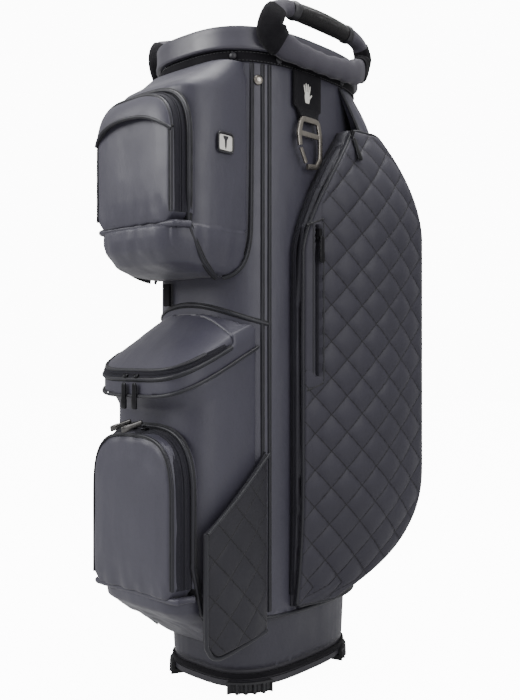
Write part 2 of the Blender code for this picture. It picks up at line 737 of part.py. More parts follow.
def pulls():
    down, right = (0.0, 0.0, -1.0), (1.0, 0.0, 0.0)
    for number, x in enumerate((-0.010, 0.010), 1):
        pull(f"cooler_pull_{number}", (x, -0.2405, 0.4060), down, right, 0.034, 0.0085, 0.0025, "moulding")
    for number, x in enumerate((-0.012, 0.010), 1):
        pull(
            f"ball_pull_{number}", (x, -0.2250, 0.3590), (-0.35, -1.0, -0.12), (0, 0, 1), 0.030, 0.0075,
            0.0025, "steel",
        )
    for side, word in ((1, "right"), (-1, "left")):
        spot = (side * 0.1405, 0.0330, 0.7340)
        lean = (side * 0.36, 0.0, -1.0)
        pull(f"side_pull_{word}", spot, lean, (0.0, 1.0, 0.0), 0.036, 0.0085, 0.0025, "moulding")
    slider_x = side_out(VALUABLES_Y, 0.60)
    slider = box(
        (slider_x - 0.003, VALUABLES_Y - 0.003, 0.588),
        (slider_x + 0.0035, VALUABLES_Y + 0.003, 0.602),
    )
    finish("valuables_slider", slider, "moulding", (slider_x, VALUABLES_Y, 0.595))
    pull(
        "valuables_pull", (slider_x + 0.0055, VALUABLES_Y, 0.594), down, (0.0, 1.0, 0.0), 0.036, 0.0085,
        0.0025, "moulding",
    )


def glove_strap():
    x = 0.1078
    low, high = Vector((x, -0.052, 0.752)), Vector((x, -0.002, 0.804))
    strap = []
    for z in (0.752, 0.757, 0.800, 0.804):
        thick = 0.0045 if z < 0.7525 else 0.0022
        strap.append([
            (oval_x(low.y) + 0.0012, low.y, z), (oval_x(high.y) + 0.0012, high.y, z),
            (oval_x(high.y) + 0.0012 + thick, high.y, z), (oval_x(low.y) + 0.0012 + thick, low.y, z),
        ])
    finish("glove_strap", loft(strap), "webbing", smooth=False)
    centre_y, plane = -0.026, 0.1135
    corners = (
        (-0.0230, 0.7165), (-0.0245, 0.7285), (-0.0190, 0.7480), (0.0145, 0.7480), (0.0200, 0.7285),
        (0.0200, 0.7000), (0.0120, 0.6880), (-0.0060, 0.6860),
    )
    route = [(plane, centre_y + y, z) for y, z in corners]
    frame = rod("carabiner_frame", route, 0.0024, "steel", (plane, centre_y, 0.7480), smooth=1)
    crossbar = cylinder((plane, centre_y - 0.002, 0.7285), (0.0, 1.0, 0.0), 0.0019, 0.0430, 10)
    boolean(frame, finish("cut_crossbar", crossbar, None), "UNION")
    pivot = (plane, centre_y - 0.0085, 0.6905)
    gate = [pivot, (plane, centre_y - 0.0210, 0.7095)]
    rod("carabiner_gate", gate, 0.0021, "steel", pivot, smooth=1)


def shoulder_strap():
    """A padded strap down the back, from a ring under the collar to one above the boot."""
    path = [(0.0, 0.152, 0.800), (0.0, 0.176, 0.760), (0.0, 0.196, 0.640), (0.0, 0.200, 0.520),
            (0.0, 0.188, 0.380), (0.0, 0.160, 0.262), (0.0, 0.1515, 0.240)]
    route = smooth_route(path, 4)
    strap, pad = [], []
    for i, point in enumerate(route):
        ahead = route[min(i + 1, len(route) - 1)] - route[max(i - 1, 0)]
        normal = Vector((0.0, -ahead.z, ahead.y)).normalized()
        for store, half, low, high in ((strap, 0.019, -0.0012, 0.0012), (pad, 0.030, 0.0016, 0.0096)):
            edge = 0.6 if store is pad and i in (6, 18) else 1.0
            store.append([
                tuple(point + Vector((x * half * edge, 0, 0)) + normal * y)
                for x, y in ((-1, low), (1, low), (1, high), (-1, high))
            ])
    finish("shoulder_strap", loft(strap), "webbing", smooth=False)
    finish("shoulder_pad", loft(pad[6:19]), "mesh")
    for word, y, z in (("upper", 0.1455, 0.8035), ("lower", 0.1495, 0.2235)):
        plate = box((-0.021, y, z), (0.021, y + 0.010, z + 0.013))
        finish(f"strap_anchor_{word}", plate, "moulding", smooth=False)


def centre_on_footprint():
    """The origin goes under the middle of the whole bag, pockets and strap included."""
    for item in list(PARTS.objects) + list(CUTTERS.objects):
        item.location.y += FOOTPRINT_SHIFT


clear_scene()
PARTS = collection("golf_cart_bag")
CUTTERS = collection("cutters")
BODY_ROOM = body_cutter()
boot()
feet()
body()
collar()
dividers()
rivets()
handles()
upper_pocket(BODY_ROOM)
COOLER_WELL = cooler_well()
cooler(BODY_ROOM, COOLER_WELL)
ball_pocket(BODY_ROOM, COOLER_WELL)
side_pockets(BODY_ROOM)
sleeve(BODY_ROOM)
pulls()
glove_strap()
shoulder_strap()
centre_on_footprint()
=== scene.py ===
"""Looks of the golf cart bag: leather, quilting, piping, zips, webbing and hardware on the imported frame."""

import math

import bmesh
import bpy
import numpy as np
from mathutils import Matrix, Vector, noise
from mathutils.bvhtree import BVHTree


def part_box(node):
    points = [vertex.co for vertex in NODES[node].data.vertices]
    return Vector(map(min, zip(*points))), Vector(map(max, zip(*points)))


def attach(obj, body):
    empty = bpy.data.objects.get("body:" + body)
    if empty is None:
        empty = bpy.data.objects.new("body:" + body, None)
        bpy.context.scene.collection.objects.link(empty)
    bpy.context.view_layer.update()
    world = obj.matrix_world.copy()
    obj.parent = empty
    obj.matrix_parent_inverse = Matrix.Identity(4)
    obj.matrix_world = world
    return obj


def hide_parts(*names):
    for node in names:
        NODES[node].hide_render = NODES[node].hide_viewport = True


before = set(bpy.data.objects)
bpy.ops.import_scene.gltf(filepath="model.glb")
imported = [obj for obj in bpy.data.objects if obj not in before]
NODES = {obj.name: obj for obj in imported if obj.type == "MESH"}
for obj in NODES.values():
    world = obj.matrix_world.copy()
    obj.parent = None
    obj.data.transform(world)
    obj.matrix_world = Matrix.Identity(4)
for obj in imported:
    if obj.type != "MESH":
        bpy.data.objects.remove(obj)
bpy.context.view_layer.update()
SHELL_LOW, SHELL_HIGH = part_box("body_shell")
SHIFT = Vector((0.0, (SHELL_LOW.y + SHELL_HIGH.y) / 2, 0.0))  # the body's axis in the frame

# The body's ovals and the side pockets' outline, about the body's axis
BODY_X, BODY_Y, BODY_POWER = SHELL_HIGH.x, (SHELL_HIGH.y - SHELL_LOW.y) / 2, 2.8
BODY_TOP, HEM_Z = SHELL_HIGH.z, 0.098
SEAM_TOP, SEAM_FOOT = 0.811, 0.108  # ends of the body's upright seams
COLLAR_X, COLLAR_Y = 0.112, 0.15
SIDE_FRONT, SIDE_BACK, SIDE_ROOT, GUSSET, BULGE = -0.055, 0.15, 0.104, 0.022, 0.052
QUILT = 0.048  # the width of one diamond
SIDES = (("right", 1), ("left", -1))
X_AXIS, UP, FORWARD = (1.0, 0.0, 0.0), (0.0, 0.0, 1.0), (0.0, -1.0, 0.0)


# --- materials -----------------------------------------------------------------------------------


class Shade:
    """A small builder of procedural materials."""

    def __init__(self, name, colour, roughness, metallic=0.0, **sockets):
        self.material = bpy.data.materials.new(name)
        self.material.use_nodes = True
        self.tree = self.material.node_tree
        self.shader = self.tree.nodes["Principled BSDF"]
        self.colour = colour
        self.shader.inputs["Base Color"].default_value = (*colour, 1.0)
        self.shader.inputs["Roughness"].default_value = roughness
        self.shader.inputs["Metallic"].default_value = metallic
        for socket, value in sockets.items():
            self.shader.inputs[socket.replace("_", " ")].default_value = value
        self.where = self.tree.nodes.new("ShaderNodeTexCoord")
        self.bump = None

    def node(self, kind, inputs=(), **settings):
        made = self.tree.nodes.new("ShaderNode" + kind)
        for key, value in settings.items():
            setattr(made, key, value)
        for key, value in dict(inputs).items():
            if isinstance(value, bpy.types.NodeSocket):
                self.tree.links.new(value, made.inputs[key])
            else:
                made.inputs[key].default_value = value
        return made

    def math(self, operation, a, b=0.0, c=0.0):
        return self.node("Math", {0: a, 1: b, 2: c}, operation=operation).outputs[0]

    def wave(self, value, pitch):
        """Rises from 0 to 0.5 and falls again over each pitch."""
        return self.math("PINGPONG", self.math("DIVIDE", value, pitch), 0.5)

    def at(self, space="Object", scale=(1.0, 1.0, 1.0)):
        inputs = {"Vector": self.where.outputs[space], "Scale": scale}
        return self.node("Mapping", inputs).outputs[0]

    def noise(self, scale, detail=3.0, stretch=(1.0, 1.0, 1.0)):
        inputs = {"Vector": self.at(scale=stretch), "Scale": scale, "Detail": detail}
        return self.node("TexNoise", inputs).outputs[0]

    def cells(self, scale):
        return self.node("TexVoronoi", {"Vector": self.at(), "Scale": scale}).outputs[0]

    def ramp(self, value, low, high, to_low=0.0, to_high=1.0):
        inputs = {0: value, 1: low, 2: high, 3: to_low, 4: to_high}
        return self.node("MapRange", inputs).outputs[0]

    def axes(self):
        """The flat coordinates, in metres."""
        return self.node("SeparateXYZ", {0: self.at("UV")}).outputs[:2]

    def tint(self, factor, colour):
        """Mixes the base colour towards another by a factor between 0 and 1."""
        mix = self.node("Mix", {0: factor}, data_type="RGBA")
        base = self.shader.inputs["Base Color"]
        if base.links:
            self.tree.links.new(base.links[0].from_socket, mix.inputs[6])
        else:
            mix.inputs[6].default_value = (*self.colour, 1.0)
        mix.inputs[7].default_value = (*colour, 1.0)
        self.tree.links.new(mix.outputs[2], base)
        return self

    def rough(self, value, low, high):
        self.tree.links.new(self.ramp(value, 0.3, 0.7, low, high), self.shader.inputs["Roughness"])
        return self

    def relief(self, height, distance, strength=1.0):
        """Adds one layer of bump over those before it."""
        made = self.node("Bump", {"Height": height, "Distance": distance, "Strength": strength})
        if self.bump:
            self.tree.links.new(self.bump, made.inputs["Normal"])
        self.bump = made.outputs[0]
        self.tree.links.new(self.bump, self.shader.inputs["Normal"])
        return self


CHARCOAL = (0.029, 0.0276, 0.041)


def shade_up(colour, factor):
    return tuple(min(1.0, c * factor) for c in colour)


def leather(name, colour, roughness=0.46, grain=1.0, gloss=0.42):
    made = Shade(name, colour, roughness, Specular_IOR_Level=gloss, Sheen_Weight=gloss * 0.2,
                 Sheen_Roughness=0.45)
    cloud = made.noise(7.0, 4.0)
    made.tint(made.ramp(cloud, 0.35, 0.7, 0.0, 0.5), shade_up(colour, 1.22))
    made.tint(made.ramp(made.noise(420.0, 2.0), 0.52, 0.75, 0.0, 0.35), shade_up(colour, 0.72))
    made.rough(made.noise(22.0, 5.0), roughness - 0.05, roughness + 0.07)
    made.relief(made.noise(11.0, 3.0, stretch=(1.0, 1.0, 0.6)), 0.007, 0.4)
    made.relief(made.noise(26.0, 2.0, stretch=(1.0, 1.0, 0.55)), 0.0016, 0.45)
    made.relief(made.cells(1150.0), 0.00012 * grain, 0.55)
    made.relief(made.noise(2300.0, 2.0), 0.00006 * grain, 0.5)
    return made


def body_leather():
    """The body's leather, darkened by painted shade below the hem."""
    made = leather("body_leather", CHARCOAL)
    height = made.node("SeparateXYZ", {0: made.at()}).outputs[2]
    # painted shade: below the hem the colour is mixed towards a darker charcoal
    return made.tint(made.ramp(height, 0.095, 0.104, 0.72, 0.0), shade_up(CHARCOAL, 0.62))


def quilt_leather(name, colour):
    """Diamond quilting: thread lines both ways from the flat coordinates in metres, with painted shade in the
    grooves.
    """
    made = leather(name, colour, 0.54, gloss=0.28)
    u, v = made.axes()
    grooves, threads = [], []
    for sign, dash in ((1.0, 0.0035), (-1.0, 0.0045)):
        share = made.wave(made.math("MULTIPLY_ADD", v, sign, u), QUILT)
        grooves.append(made.ramp(share, 0.007, 0.026, 1.0, 0.0))
        gap = made.wave(made.math("MULTIPLY_ADD", v, -sign, u), dash * 1.414)
        threads.append(made.math("MULTIPLY", grooves[-1], made.ramp(gap, 0.1, 0.2)))
    groove, stitched = made.math("MAXIMUM", *grooves), made.math("MAXIMUM", *threads)
    # painted shade: the quilting grooves darkened towards 0.15 of the leather's colour; the thread tint below
    # is the thread's own colour
    made.tint(made.math("MULTIPLY", groove, 0.92), shade_up(colour, 0.15))
    made.tint(made.math("MULTIPLY", stitched, 0.3), (0.012, 0.012, 0.014))
    made.relief(made.math("SUBTRACT", stitched, made.math("MULTIPLY", groove, 1.6)), 0.0004, 0.8)
    return made


def woven(name, colour, warp, weft, roughness=0.86, depth=0.00035):
    """Webbing or tape: a ribbed weave along and across the flat coordinates in metres, with painted highlight
    on the raised floats and painted shade between picks.
    """
    made = Shade(name, colour, roughness, Specular_IOR_Level=0.14, Sheen_Weight=0.04)
    u, v = made.axes()
    along = made.wave(u, weft)
    step = made.math("MULTIPLY", made.math("FLOOR", made.math("DIVIDE", v, warp)), 0.5)
    shifted = made.math("ADD", made.math("DIVIDE", u, weft), step)
    float_over = made.math("PINGPONG", shifted, 0.5)
    across = made.wave(v, warp)
    height = made.math("MULTIPLY", float_over, made.ramp(across, 0.0, 0.4))
    # painted highlight: the raised floats lightened towards twice the colour
    made.tint(made.ramp(height, 0.15, 0.5, 0.0, 0.8), shade_up(colour, 2.0))
    # painted shade: the gaps between picks darkened towards half the colour
    made.tint(made.ramp(along, 0.0, 0.2, 0.35, 0.0), shade_up(colour, 0.5))
    made.rough(made.noise(60.0, 3.0), roughness - 0.06, roughness + 0.06)
    return made.relief(height, depth, 0.9)


def spacer_mesh():
    colour = (0.042, 0.0385, 0.052)
    made = Shade("spacer_mesh", colour, 0.78, Specular_IOR_Level=0.25, Sheen_Weight=0.12)
    u, v = made.axes()
    row = made.math("MULTIPLY", made.math("FLOOR", made.math("DIVIDE", v, 0.0021)), 0.5)
    hole_u = made.math("PINGPONG", made.math("ADD", made.math("DIVIDE", u, 0.003), row), 0.5)
    hole_v = made.wave(v, 0.0021)
    weave = made.math("MULTIPLY", made.ramp(hole_u, 0.08, 0.34), made.ramp(hole_v, 0.06, 0.36))
    # painted shade: the mesh's holes darkened almost to black
    made.tint(made.ramp(weave, 0.2, 1.0, 0.0, 0.85), (0.004, 0.004, 0.005))
    made.rough(made.noise(40.0, 3.0), 0.66, 0.8)
    return made.relief(weave, 0.0006, -0.9)


def plastic(name, colour, roughness, texture=1500.0):
    made = Shade(name, colour, roughness, Specular_IOR_Level=0.45)
    made.tint(made.ramp(made.noise(14.0, 4.0), 0.4, 0.7, 0.0, 0.45), shade_up(colour, 1.25))
    made.rough(made.noise(55.0, 4.0), roughness - 0.05, roughness + 0.08)
    made.relief(made.noise(18.0, 2.0), 0.0007, 0.15)
    return made.relief(made.noise(texture, 2.0), 0.00006, 0.5)


def grip_rubber():
    """Raised diamonds about 5 mm apart, with painted shade in the grooves between them."""
    colour = (0.018, 0.015, 0.0175)
    made = Shade("diamond_rubber", colour, 0.5, Specular_IOR_Level=0.45)
    u, v = made.axes()
    ridges = [made.ramp(made.wave(made.math("MULTIPLY_ADD", v, tilt, u), 0.0062), 0.05, 0.3)
              for tilt in (1.25, -1.25)]
    height = made.math("MULTIPLY", *ridges)
    # painted shade: the grooves between the diamonds darkened almost to black
    made.tint(made.ramp(height, 0.0, 0.6, 0.95, 0.0), (0.003, 0.003, 0.0035))
    made.rough(made.noise(300.0, 2.0), 0.48, 0.62)
    return made.relief(height, 0.001, 1.0)


def metal(name, colour, roughness):
    made = Shade(name, colour, roughness, 1.0, Anisotropic=0.3)
    made.tint(made.ramp(made.noise(35.0, 5.0), 0.45, 0.7, 0.0, 0.5), shade_up(colour, 0.75))
    made.rough(made.noise(160.0, 4.0), roughness - 0.06, roughness + 0.1)
    return made.relief(made.noise(900.0, 2.0, stretch=(1.0, 1.0, 0.2)), 0.00004, 0.4)


SKINS = {
    "leather": leather("charcoal_leather", CHARCOAL),
    "body": body_leather(),
    "trim": leather("piping_leather", (0.011, 0.011, 0.015), 0.44, 0.4, 0.3),
    "quilt": quilt_leather("quilted_leather", (0.019, 0.0178, 0.0265)),
    "sleeve": quilt_leather("sleeve_leather", (0.0105, 0.01, 0.0145)),
    "webbing": woven("webbing_black", (0.004, 0.0036, 0.0052), 0.0016, 0.0024),
    "tape": woven("zip_tape", (0.014, 0.0136, 0.0185), 0.0011, 0.0012, 0.8, 0.0002),
    "mesh": spacer_mesh(),
    "collar": plastic("collar_plastic", (0.042, 0.04, 0.052), 0.36),
    "boot": plastic("boot_plastic", (0.023, 0.0218, 0.0275), 0.46),
    "moulding": plastic("black_moulding", (0.012, 0.0114, 0.0145), 0.46),
    "rubber": plastic("foot_rubber", (0.008, 0.008, 0.01), 0.55, 700.0),
    "grip": grip_rubber(),
    "lining": woven("club_way_lining", (0.009, 0.009, 0.01), 0.0015, 0.0015, 0.92),
    "steel": metal("champagne_steel", (0.25, 0.23, 0.205), 0.3),
    "black_metal": metal("black_metal", (0.022, 0.022, 0.024), 0.34),
    "gunmetal": metal("gunmetal", (0.1, 0.097, 0.095), 0.26),
    "thread": Shade("thread", (0.03, 0.03, 0.034), 0.7, Sheen_Weight=0.2),
    "gusset": plastic("gusset_cloth", (0.021, 0.0205, 0.028), 0.7, 900.0),
    # painted shadow: a near-black matte cloth laid along seams and under the hood flap where shade falls
    "crease_shadow": Shade("seam_shadow", (0.006, 0.006, 0.008), 0.8),
    "white": Shade("badge_white", (0.58, 0.57, 0.53), 0.5),
}
SKINS["thread"].relief(SKINS["thread"].noise(3000.0, 2.0), 0.0001)
SKINS["white"].tint(SKINS["white"].noise(200.0), (0.45, 0.44, 0.41)).relief(
    SKINS["white"].noise(900.0), 0.0001)
SKINS["crease_shadow"].relief(SKINS["crease_shadow"].noise(800.0, 2.0), 0.0002).rough(
    SKINS["crease_shadow"].noise(90.0), 0.7, 0.9)


# --- making pieces -------------------------------------------------------------------------------


def place(obj, body, skin, stands_for=()):
    obj.data.materials.clear()
    obj.data.materials.append(SKINS[skin].material)
    bpy.context.scene.collection.objects.link(obj)
    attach(obj, body)
    if stands_for:
        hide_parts(*stands_for)
    return obj


def piece(name, points, faces, body, skin, stands_for=(), flat=None):
    """A new mesh about the body's axis; flat holds each point's flat coordinates in metres."""
    mesh = bpy.data.meshes.new(name)
    mesh.from_pydata((np.asarray(points) + np.array(SHIFT)).tolist(), [], faces)
    if flat is not None:
        corners = np.empty(len(mesh.loops), dtype=np.int32)
        mesh.loops.foreach_get("vertex_index", corners)
        layer = mesh.uv_layers.new(name="flat")
        layer.data.foreach_set("uv", np.asarray(flat)[corners].astype(np.float32).ravel())
    mesh.validate()
    bm = bmesh.new()
    bm.from_mesh(mesh)
    bmesh.ops.recalc_face_normals(bm, faces=bm.faces)
    bm.to_mesh(mesh)
    bm.free()
    mesh.shade_smooth()
    mesh.set_sharp_from_angle(angle=math.radians(50))
    return place(bpy.data.objects.new(name, mesh), body, skin, stands_for)


def unit(v):
    return v / np.maximum(np.linalg.norm(v, axis=-1, keepdims=True), 1e-9)


def lengths(path):
    """How far along a path each of its points is."""
    return np.concatenate([[0], np.cumsum(np.linalg.norm(np.diff(path, axis=0), axis=1))])


def sampled(rows, run, at):
    return np.column_stack([np.interp(at, run, rows[:, k]) for k in range(3)])


def curve(points, step=0.002, closed=False):
    """Evenly spaced points on a Catmull-Rom curve."""
    points = np.asarray(points, float)
    if closed:
        points = np.vstack([points[-1], points, points[:2]])
    else:
        points = np.vstack([2 * points[0] - points[1], points, 2 * points[-1] - points[-2]])
    t = np.linspace(0, 1, 24, endpoint=False)[:, None]
    route = [0.5 * (2 * b + (c - a) * t + (2 * a - 5 * b + 4 * c - d) * t ** 2
                    + (3 * b - a - 3 * c + d) * t ** 3)
             for a, b, c, d in zip(points, points[1:], points[2:], points[3:])]
    route = np.vstack(route + [points[-2][None]])
    run = lengths(route)
    return sampled(route, run, np.linspace(0, run[-1], max(4, int(run[-1] / step)) + 1))


def tree_of(*nodes):
    """Everything that the nodes' meshes show, about the body's axis."""
    points, faces = [], []
    for node in nodes:
        mesh = (NODES[node] if isinstance(node, str) else node).data
        start = len(points)
        points += [v.co - SHIFT for v in mesh.vertices]
        faces += [[start + i for i in p.vertices] for p in mesh.polygons]
    return BVHTree.FromPolygons(points, faces)


def snap(path, tree, lift=0.0, soften=4):
    """The path moved to the nearest surface, with that surface's normals."""
    places, normals = [], []
    for point in path:
        where, normal, _, _ = tree.find_nearest(Vector(point))
        places.append(where)
        normals.append(normal)
    places, normals = np.array(places), np.array(normals)
    for _ in range(soften):
        for row in (places, normals):
            row[1:-1] = (row[:-2] + 2 * row[1:-1] + row[2:]) / 4
    normals = unit(normals)
    return places + lift * normals, normals


def super_oval(angle, wide, thick, power):
    c, s = np.cos(angle), np.sin(angle)
    return np.column_stack([wide * np.sign(c) * np.abs(c) ** (2 / power),
                            thick * np.sign(s) * np.abs(s) ** (2 / power)])


def oval_profile(wide, thick, count=10, power=2.0):
    return super_oval(np.linspace(0, 2 * math.pi, count, endpoint=False), wide, thick, power)


def sweep_mesh(path, normals, profile, scale=None, closed=False):
    """A profile carried along a path; normals may be one direction for the whole path."""
    path = np.asarray(path, float)
    along = unit(np.roll(path, -1, 0) - np.roll(path, 1, 0) if closed else np.gradient(path, axis=0))
    up = np.asarray(normals, float)
    up = unit(up - (up * along).sum(1, keepdims=True) * along)
    side = np.cross(along, up)
    n, m = len(path), len(profile)
    scale = np.ones((n, 2)) if scale is None else np.asarray(scale)
    points = (path[:, None] + side[:, None] * (profile[None, :, :1] * scale[:, None, :1])
              + up[:, None] * (profile[None, :, 1:] * scale[:, None, 1:]))
    faces = []
    for i in range(n if closed else n - 1):
        a, b = i * m, (i + 1) % n * m
        faces += [(a + k, a + (k + 1) % m, b + (k + 1) % m, b + k) for k in range(m)]
    if not closed:
        faces += [tuple(range(m)), tuple(range((n - 1) * m, n * m))]
    flat = np.stack(np.meshgrid(lengths(path), lengths(profile), indexing="ij"), -1)
    return points.reshape(-1, 3), faces, flat.reshape(-1, 2)


def sweep(name, path, normals, profile, body, skin, scale=None, closed=False, stands_for=()):
    points, faces, flat = sweep_mesh(path, normals, profile, scale, closed)
    return piece(name, points, faces, body, skin, stands_for, flat)


def joined(parts):
    """Several (points, faces, flat) as one."""
    points, faces, flats, start = [], [], [], 0
    for p, f, flat in parts:
        points.append(p)
        flats.append(flat)
        faces += [tuple(start + i for i in face) for face in f]
        start += len(p)
    return np.vstack(points), faces, np.vstack(flats)


def piping(name, path, tree=None, body="bag", radius=0.0021, skin="trim", normals=None, shadow_bed=1.6):
    """A sewn cord edge, half sunk in a surface, or level with its path where there is no tree, with a
    near-black bed of painted shadow under it unless that width is 0.
    """
    if tree:
        places, normals = snap(path, tree, radius * 0.55)
    else:
        places, normals = path, outward(path) if normals is None else normals
    # painted shadow: a flat near-black ribbon under the cord, in the seam-shadow cloth
    if shadow_bed:
        sweep(name + "_seam", places - normals * radius * 0.45, normals,
              oval_profile(radius * shadow_bed, radius * 0.35, 10, 3.0), body, "crease_shadow")
    return sweep(name, places, normals, oval_profile(radius, radius), body, skin)


def stitches(name, path, normals, pitch=0.0048, length=0.0032, radius=0.0004):
    """A row of single thread stitches along a path."""
    run, parts = lengths(path), []
    scale = np.repeat(np.array([0.35, 1.0, 1.0, 0.35])[:, None], 2, 1)
    for start in np.arange(pitch / 2, run[-1] - length, pitch):
        at = start + length * np.array([0.0, 0.15, 0.85, 1.0])
        parts.append(sweep_mesh(sampled(path, run, at), sampled(normals, run, at),
                                oval_profile(radius, radius * 0.8, 5), scale))
    points, faces, flat = joined(parts)
    return piece(name, points, faces, "bag", "thread", flat=flat)


ZIP_PROFILE = np.array([
    (-1.0, -0.0006), (-1.0, 0.0004), (-0.62, 0.0007), (-0.58, 0.0003), (-0.3, 0.0006),
    (-0.22, 0.0017), (-0.07, 0.0015), (0.0, 0.0002), (0.07, 0.0015), (0.22, 0.0017),
    (0.3, 0.0006), (0.58, 0.0003), (0.62, 0.0007), (1.0, 0.0004), (1.0, -0.0006),
])


def zip_tape(name, path, normals, body, half, taper=1.0):
    """A reversed-coil zip: two tapes with a raised coil tunnel on each side of the closed line."""
    scale = np.column_stack([np.full(len(path), half) * taper, np.ones(len(path))])
    return sweep(name, path, normals, ZIP_PROFILE, body, "tape", scale)


def soft_copy(source, voxel, relax):
    """A CAD solid, or a mesh, remeshed evenly, with its edges worn round."""
    mesh = NODES[source].data.copy() if isinstance(source, str) else source
    obj = bpy.data.objects.new("remesh", mesh)
    step = obj.modifiers.new("voxels", "REMESH")
    step.mode = "VOXEL"
    step.voxel_size = voxel
    smooth = obj.modifiers.new("relax", "SMOOTH")
    smooth.factor = 0.5
    smooth.iterations = relax
    bpy.context.scene.collection.objects.link(obj)
    graph = bpy.context.evaluated_depsgraph_get()
    mesh = bpy.data.meshes.new_from_object(obj.evaluated_get(graph))
    bpy.data.objects.remove(obj)
    return mesh


def sliced_copy(node, steps):
    """A CAD solid cut finely along x, y and z, so that it can wrinkle."""
    bm = bmesh.new()
    bm.from_mesh(NODES[node].data)
    bmesh.ops.remove_doubles(bm, verts=bm.verts, dist=0.00002)
    low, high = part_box(node)
    for axis, step in enumerate(steps):
        normal = Vector([float(k == axis) for k in range(3)])
        count = int((high[axis] - low[axis]) / step) if step else 0
        for k in range(1, count + 1):
            plane = normal * (low[axis] + (high[axis] - low[axis]) * k / (count + 1))
            bmesh.ops.bisect_plane(bm, geom=bm.verts[:] + bm.edges[:] + bm.faces[:],
                                   plane_co=plane, plane_no=normal, dist=1e-6)
    mesh = bpy.data.meshes.new(node + "_sliced")
    bm.to_mesh(mesh)
    bm.free()
    return mesh


def displaced(mesh, height):
    """Moves each point along its normal by height(point about the body's axis, normal)."""
    moves = [v.normal * height(v.co - SHIFT, v.normal) for v in mesh.vertices]
    for vertex, move in zip(mesh.vertices, moves):
        vertex.co += move
    return mesh


def dress(name, mesh, body, skin, *stands_for):
    mesh.name = name
    for polygon in mesh.polygons:
        polygon.use_smooth = True
    mesh.set_sharp_from_angle(angle=math.radians(60))
    return place(bpy.data.objects.new(name, mesh), body, skin, stands_for)


def box_flat(obj):
    """Flat coordinates in metres by each face's main direction, for a weave."""
    mesh = obj.data
    layer = mesh.uv_layers.new(name="flat")
    for polygon in mesh.polygons:
        n = polygon.normal
        axis = max(range(3), key=lambda k: abs(n[k]))
        a, b = [k for k in range(3) if k != axis]
        for loop in polygon.loop_indices:
            co = mesh.vertices[mesh.loops[loop].vertex_index].co
            layer.data[loop].uv = (co[b], co[a])
    return obj


def wrinkles(point, scale, size, seed=0.0, stretch=(1.0, 1.0, 1.0)):
    p = Vector((point.x * stretch[0], point.y * stretch[1], point.z * stretch[2])) * scale
    return size * noise.noise(p + Vector((seed, 3.1 * seed, 1.7)))


# --- shapes shared with the frame ----------------------------------------------------------------


def oval_x(y, half_x=BODY_X, half_y=BODY_Y):
    return half_x * np.maximum(0.0, 1 - np.abs(y / half_y) ** BODY_POWER) ** (1 / BODY_POWER)


def oval_y(x):
    return oval_x(x, BODY_Y, BODY_X)


def arch(half, z_low, z_high, power=3.2, foot=0.012):
    """Half outline from the end of the foot round to the crown, as (x, z), for x above 0."""
    spring = z_low + 0.55 * (z_high - z_low)
    points = [(half, z_low + foot + (spring - z_low - foot) * k / 4) for k in range(4)]
    for k in range(15):
        angle = math.pi / 2 * k / 14
        points.append((half * math.cos(angle) ** (2 / power),
                       spring + (z_high - spring) * math.sin(angle) ** (2 / power)))
    return points


def side_front(z):
    return SIDE_FRONT + 1.57 * np.maximum(0, z - 0.57) ** 1.6


def side_back(z):
    return (SIDE_BACK - 1.247 * np.maximum(0, z - 0.6) ** 1.61
            - 16.25 * np.maximum(0, 0.28 - z) ** 2.653)


def side_out(y, z):
    swell = (1 - 0.5 * (np.maximum(0, z - 0.6) / 0.144) ** 2
             - 0.5 * (np.maximum(0, 0.28 - z) / 0.171) ** 2)
    share = np.clip((y + 0.055) / 0.175, 0, 1)
    return SIDE_ROOT + (GUSSET + BULGE * np.sin(math.pi / 2 * share)) * swell


def outward(path):
    """Level directions away from the body's axis."""
    return unit(np.array(path) * np.array([1.0, 1.0, 0.0]))


def closed_sheet(outer, inner):
    """Two grids of the same size, joined round their edges."""
    rows, columns = outer.shape[:2]
    count = rows * columns
    corners = [j * columns + i for j in range(rows - 1) for i in range(columns - 1)]
    faces = [(a, a + 1, a + columns + 1, a + columns)
             for start in (0, count) for a in (start + c for c in corners)]
    rim = ([(0, i) for i in range(columns)] + [(j, columns - 1) for j in range(1, rows)]
           + [(rows - 1, i) for i in range(columns - 2, -1, -1)]
           + [(j, 0) for j in range(rows - 2, 0, -1)])
    index = [j * columns + i for j, i in rim]
    faces += [(a, b, count + b, count + a) for a, b in zip(index, index[1:] + index[:1])]
    return np.vstack([outer.reshape(-1, 3), inner.reshape(-1, 3)]), faces


def edge_inset(distance, radius):
    """How far a surface falls within a rounded edge."""
    d = np.clip(distance / radius, 0, 1)
    return radius * (1 - np.sqrt(1 - (1 - d) ** 2))


# --- the body, boot and collar -------------------------------------------------------------------


def body_height(p, n):
    if p.z > BODY_TOP - 0.003 or n.x * p.x + n.y * p.y < 0:
        return 0.0
    fold = wrinkles(p, 9.0, 0.0016, 1.0, (1.0, 1.0, 0.35))
    if p.z < HEM_Z:
        return fold * 0.5 + wrinkles(p, 30.0, 0.0008, 2.0, (1.0, 1.0, 0.5))
    return fold


def onto_oval(mesh):
    """Puts the points of the two faceted walls back on their true ovals."""
    for vertex in mesh.vertices:
        p = vertex.co - SHIFT
        if p.z < HEM_Z + 0.003:
            continue
        reach = (abs(p.x / BODY_X) ** BODY_POWER + abs(p.y / BODY_Y) ** BODY_POWER) ** (1 / BODY_POWER)
        if reach > 0.985:
            vertex.co = Vector((p.x / reach, p.y / reach, p.z)) + SHIFT
    return mesh


dress("body_skin", displaced(onto_oval(sliced_copy("body_shell", (0.006, 0.006, 0.008))), body_height),
      "bag", "body", "body_shell")

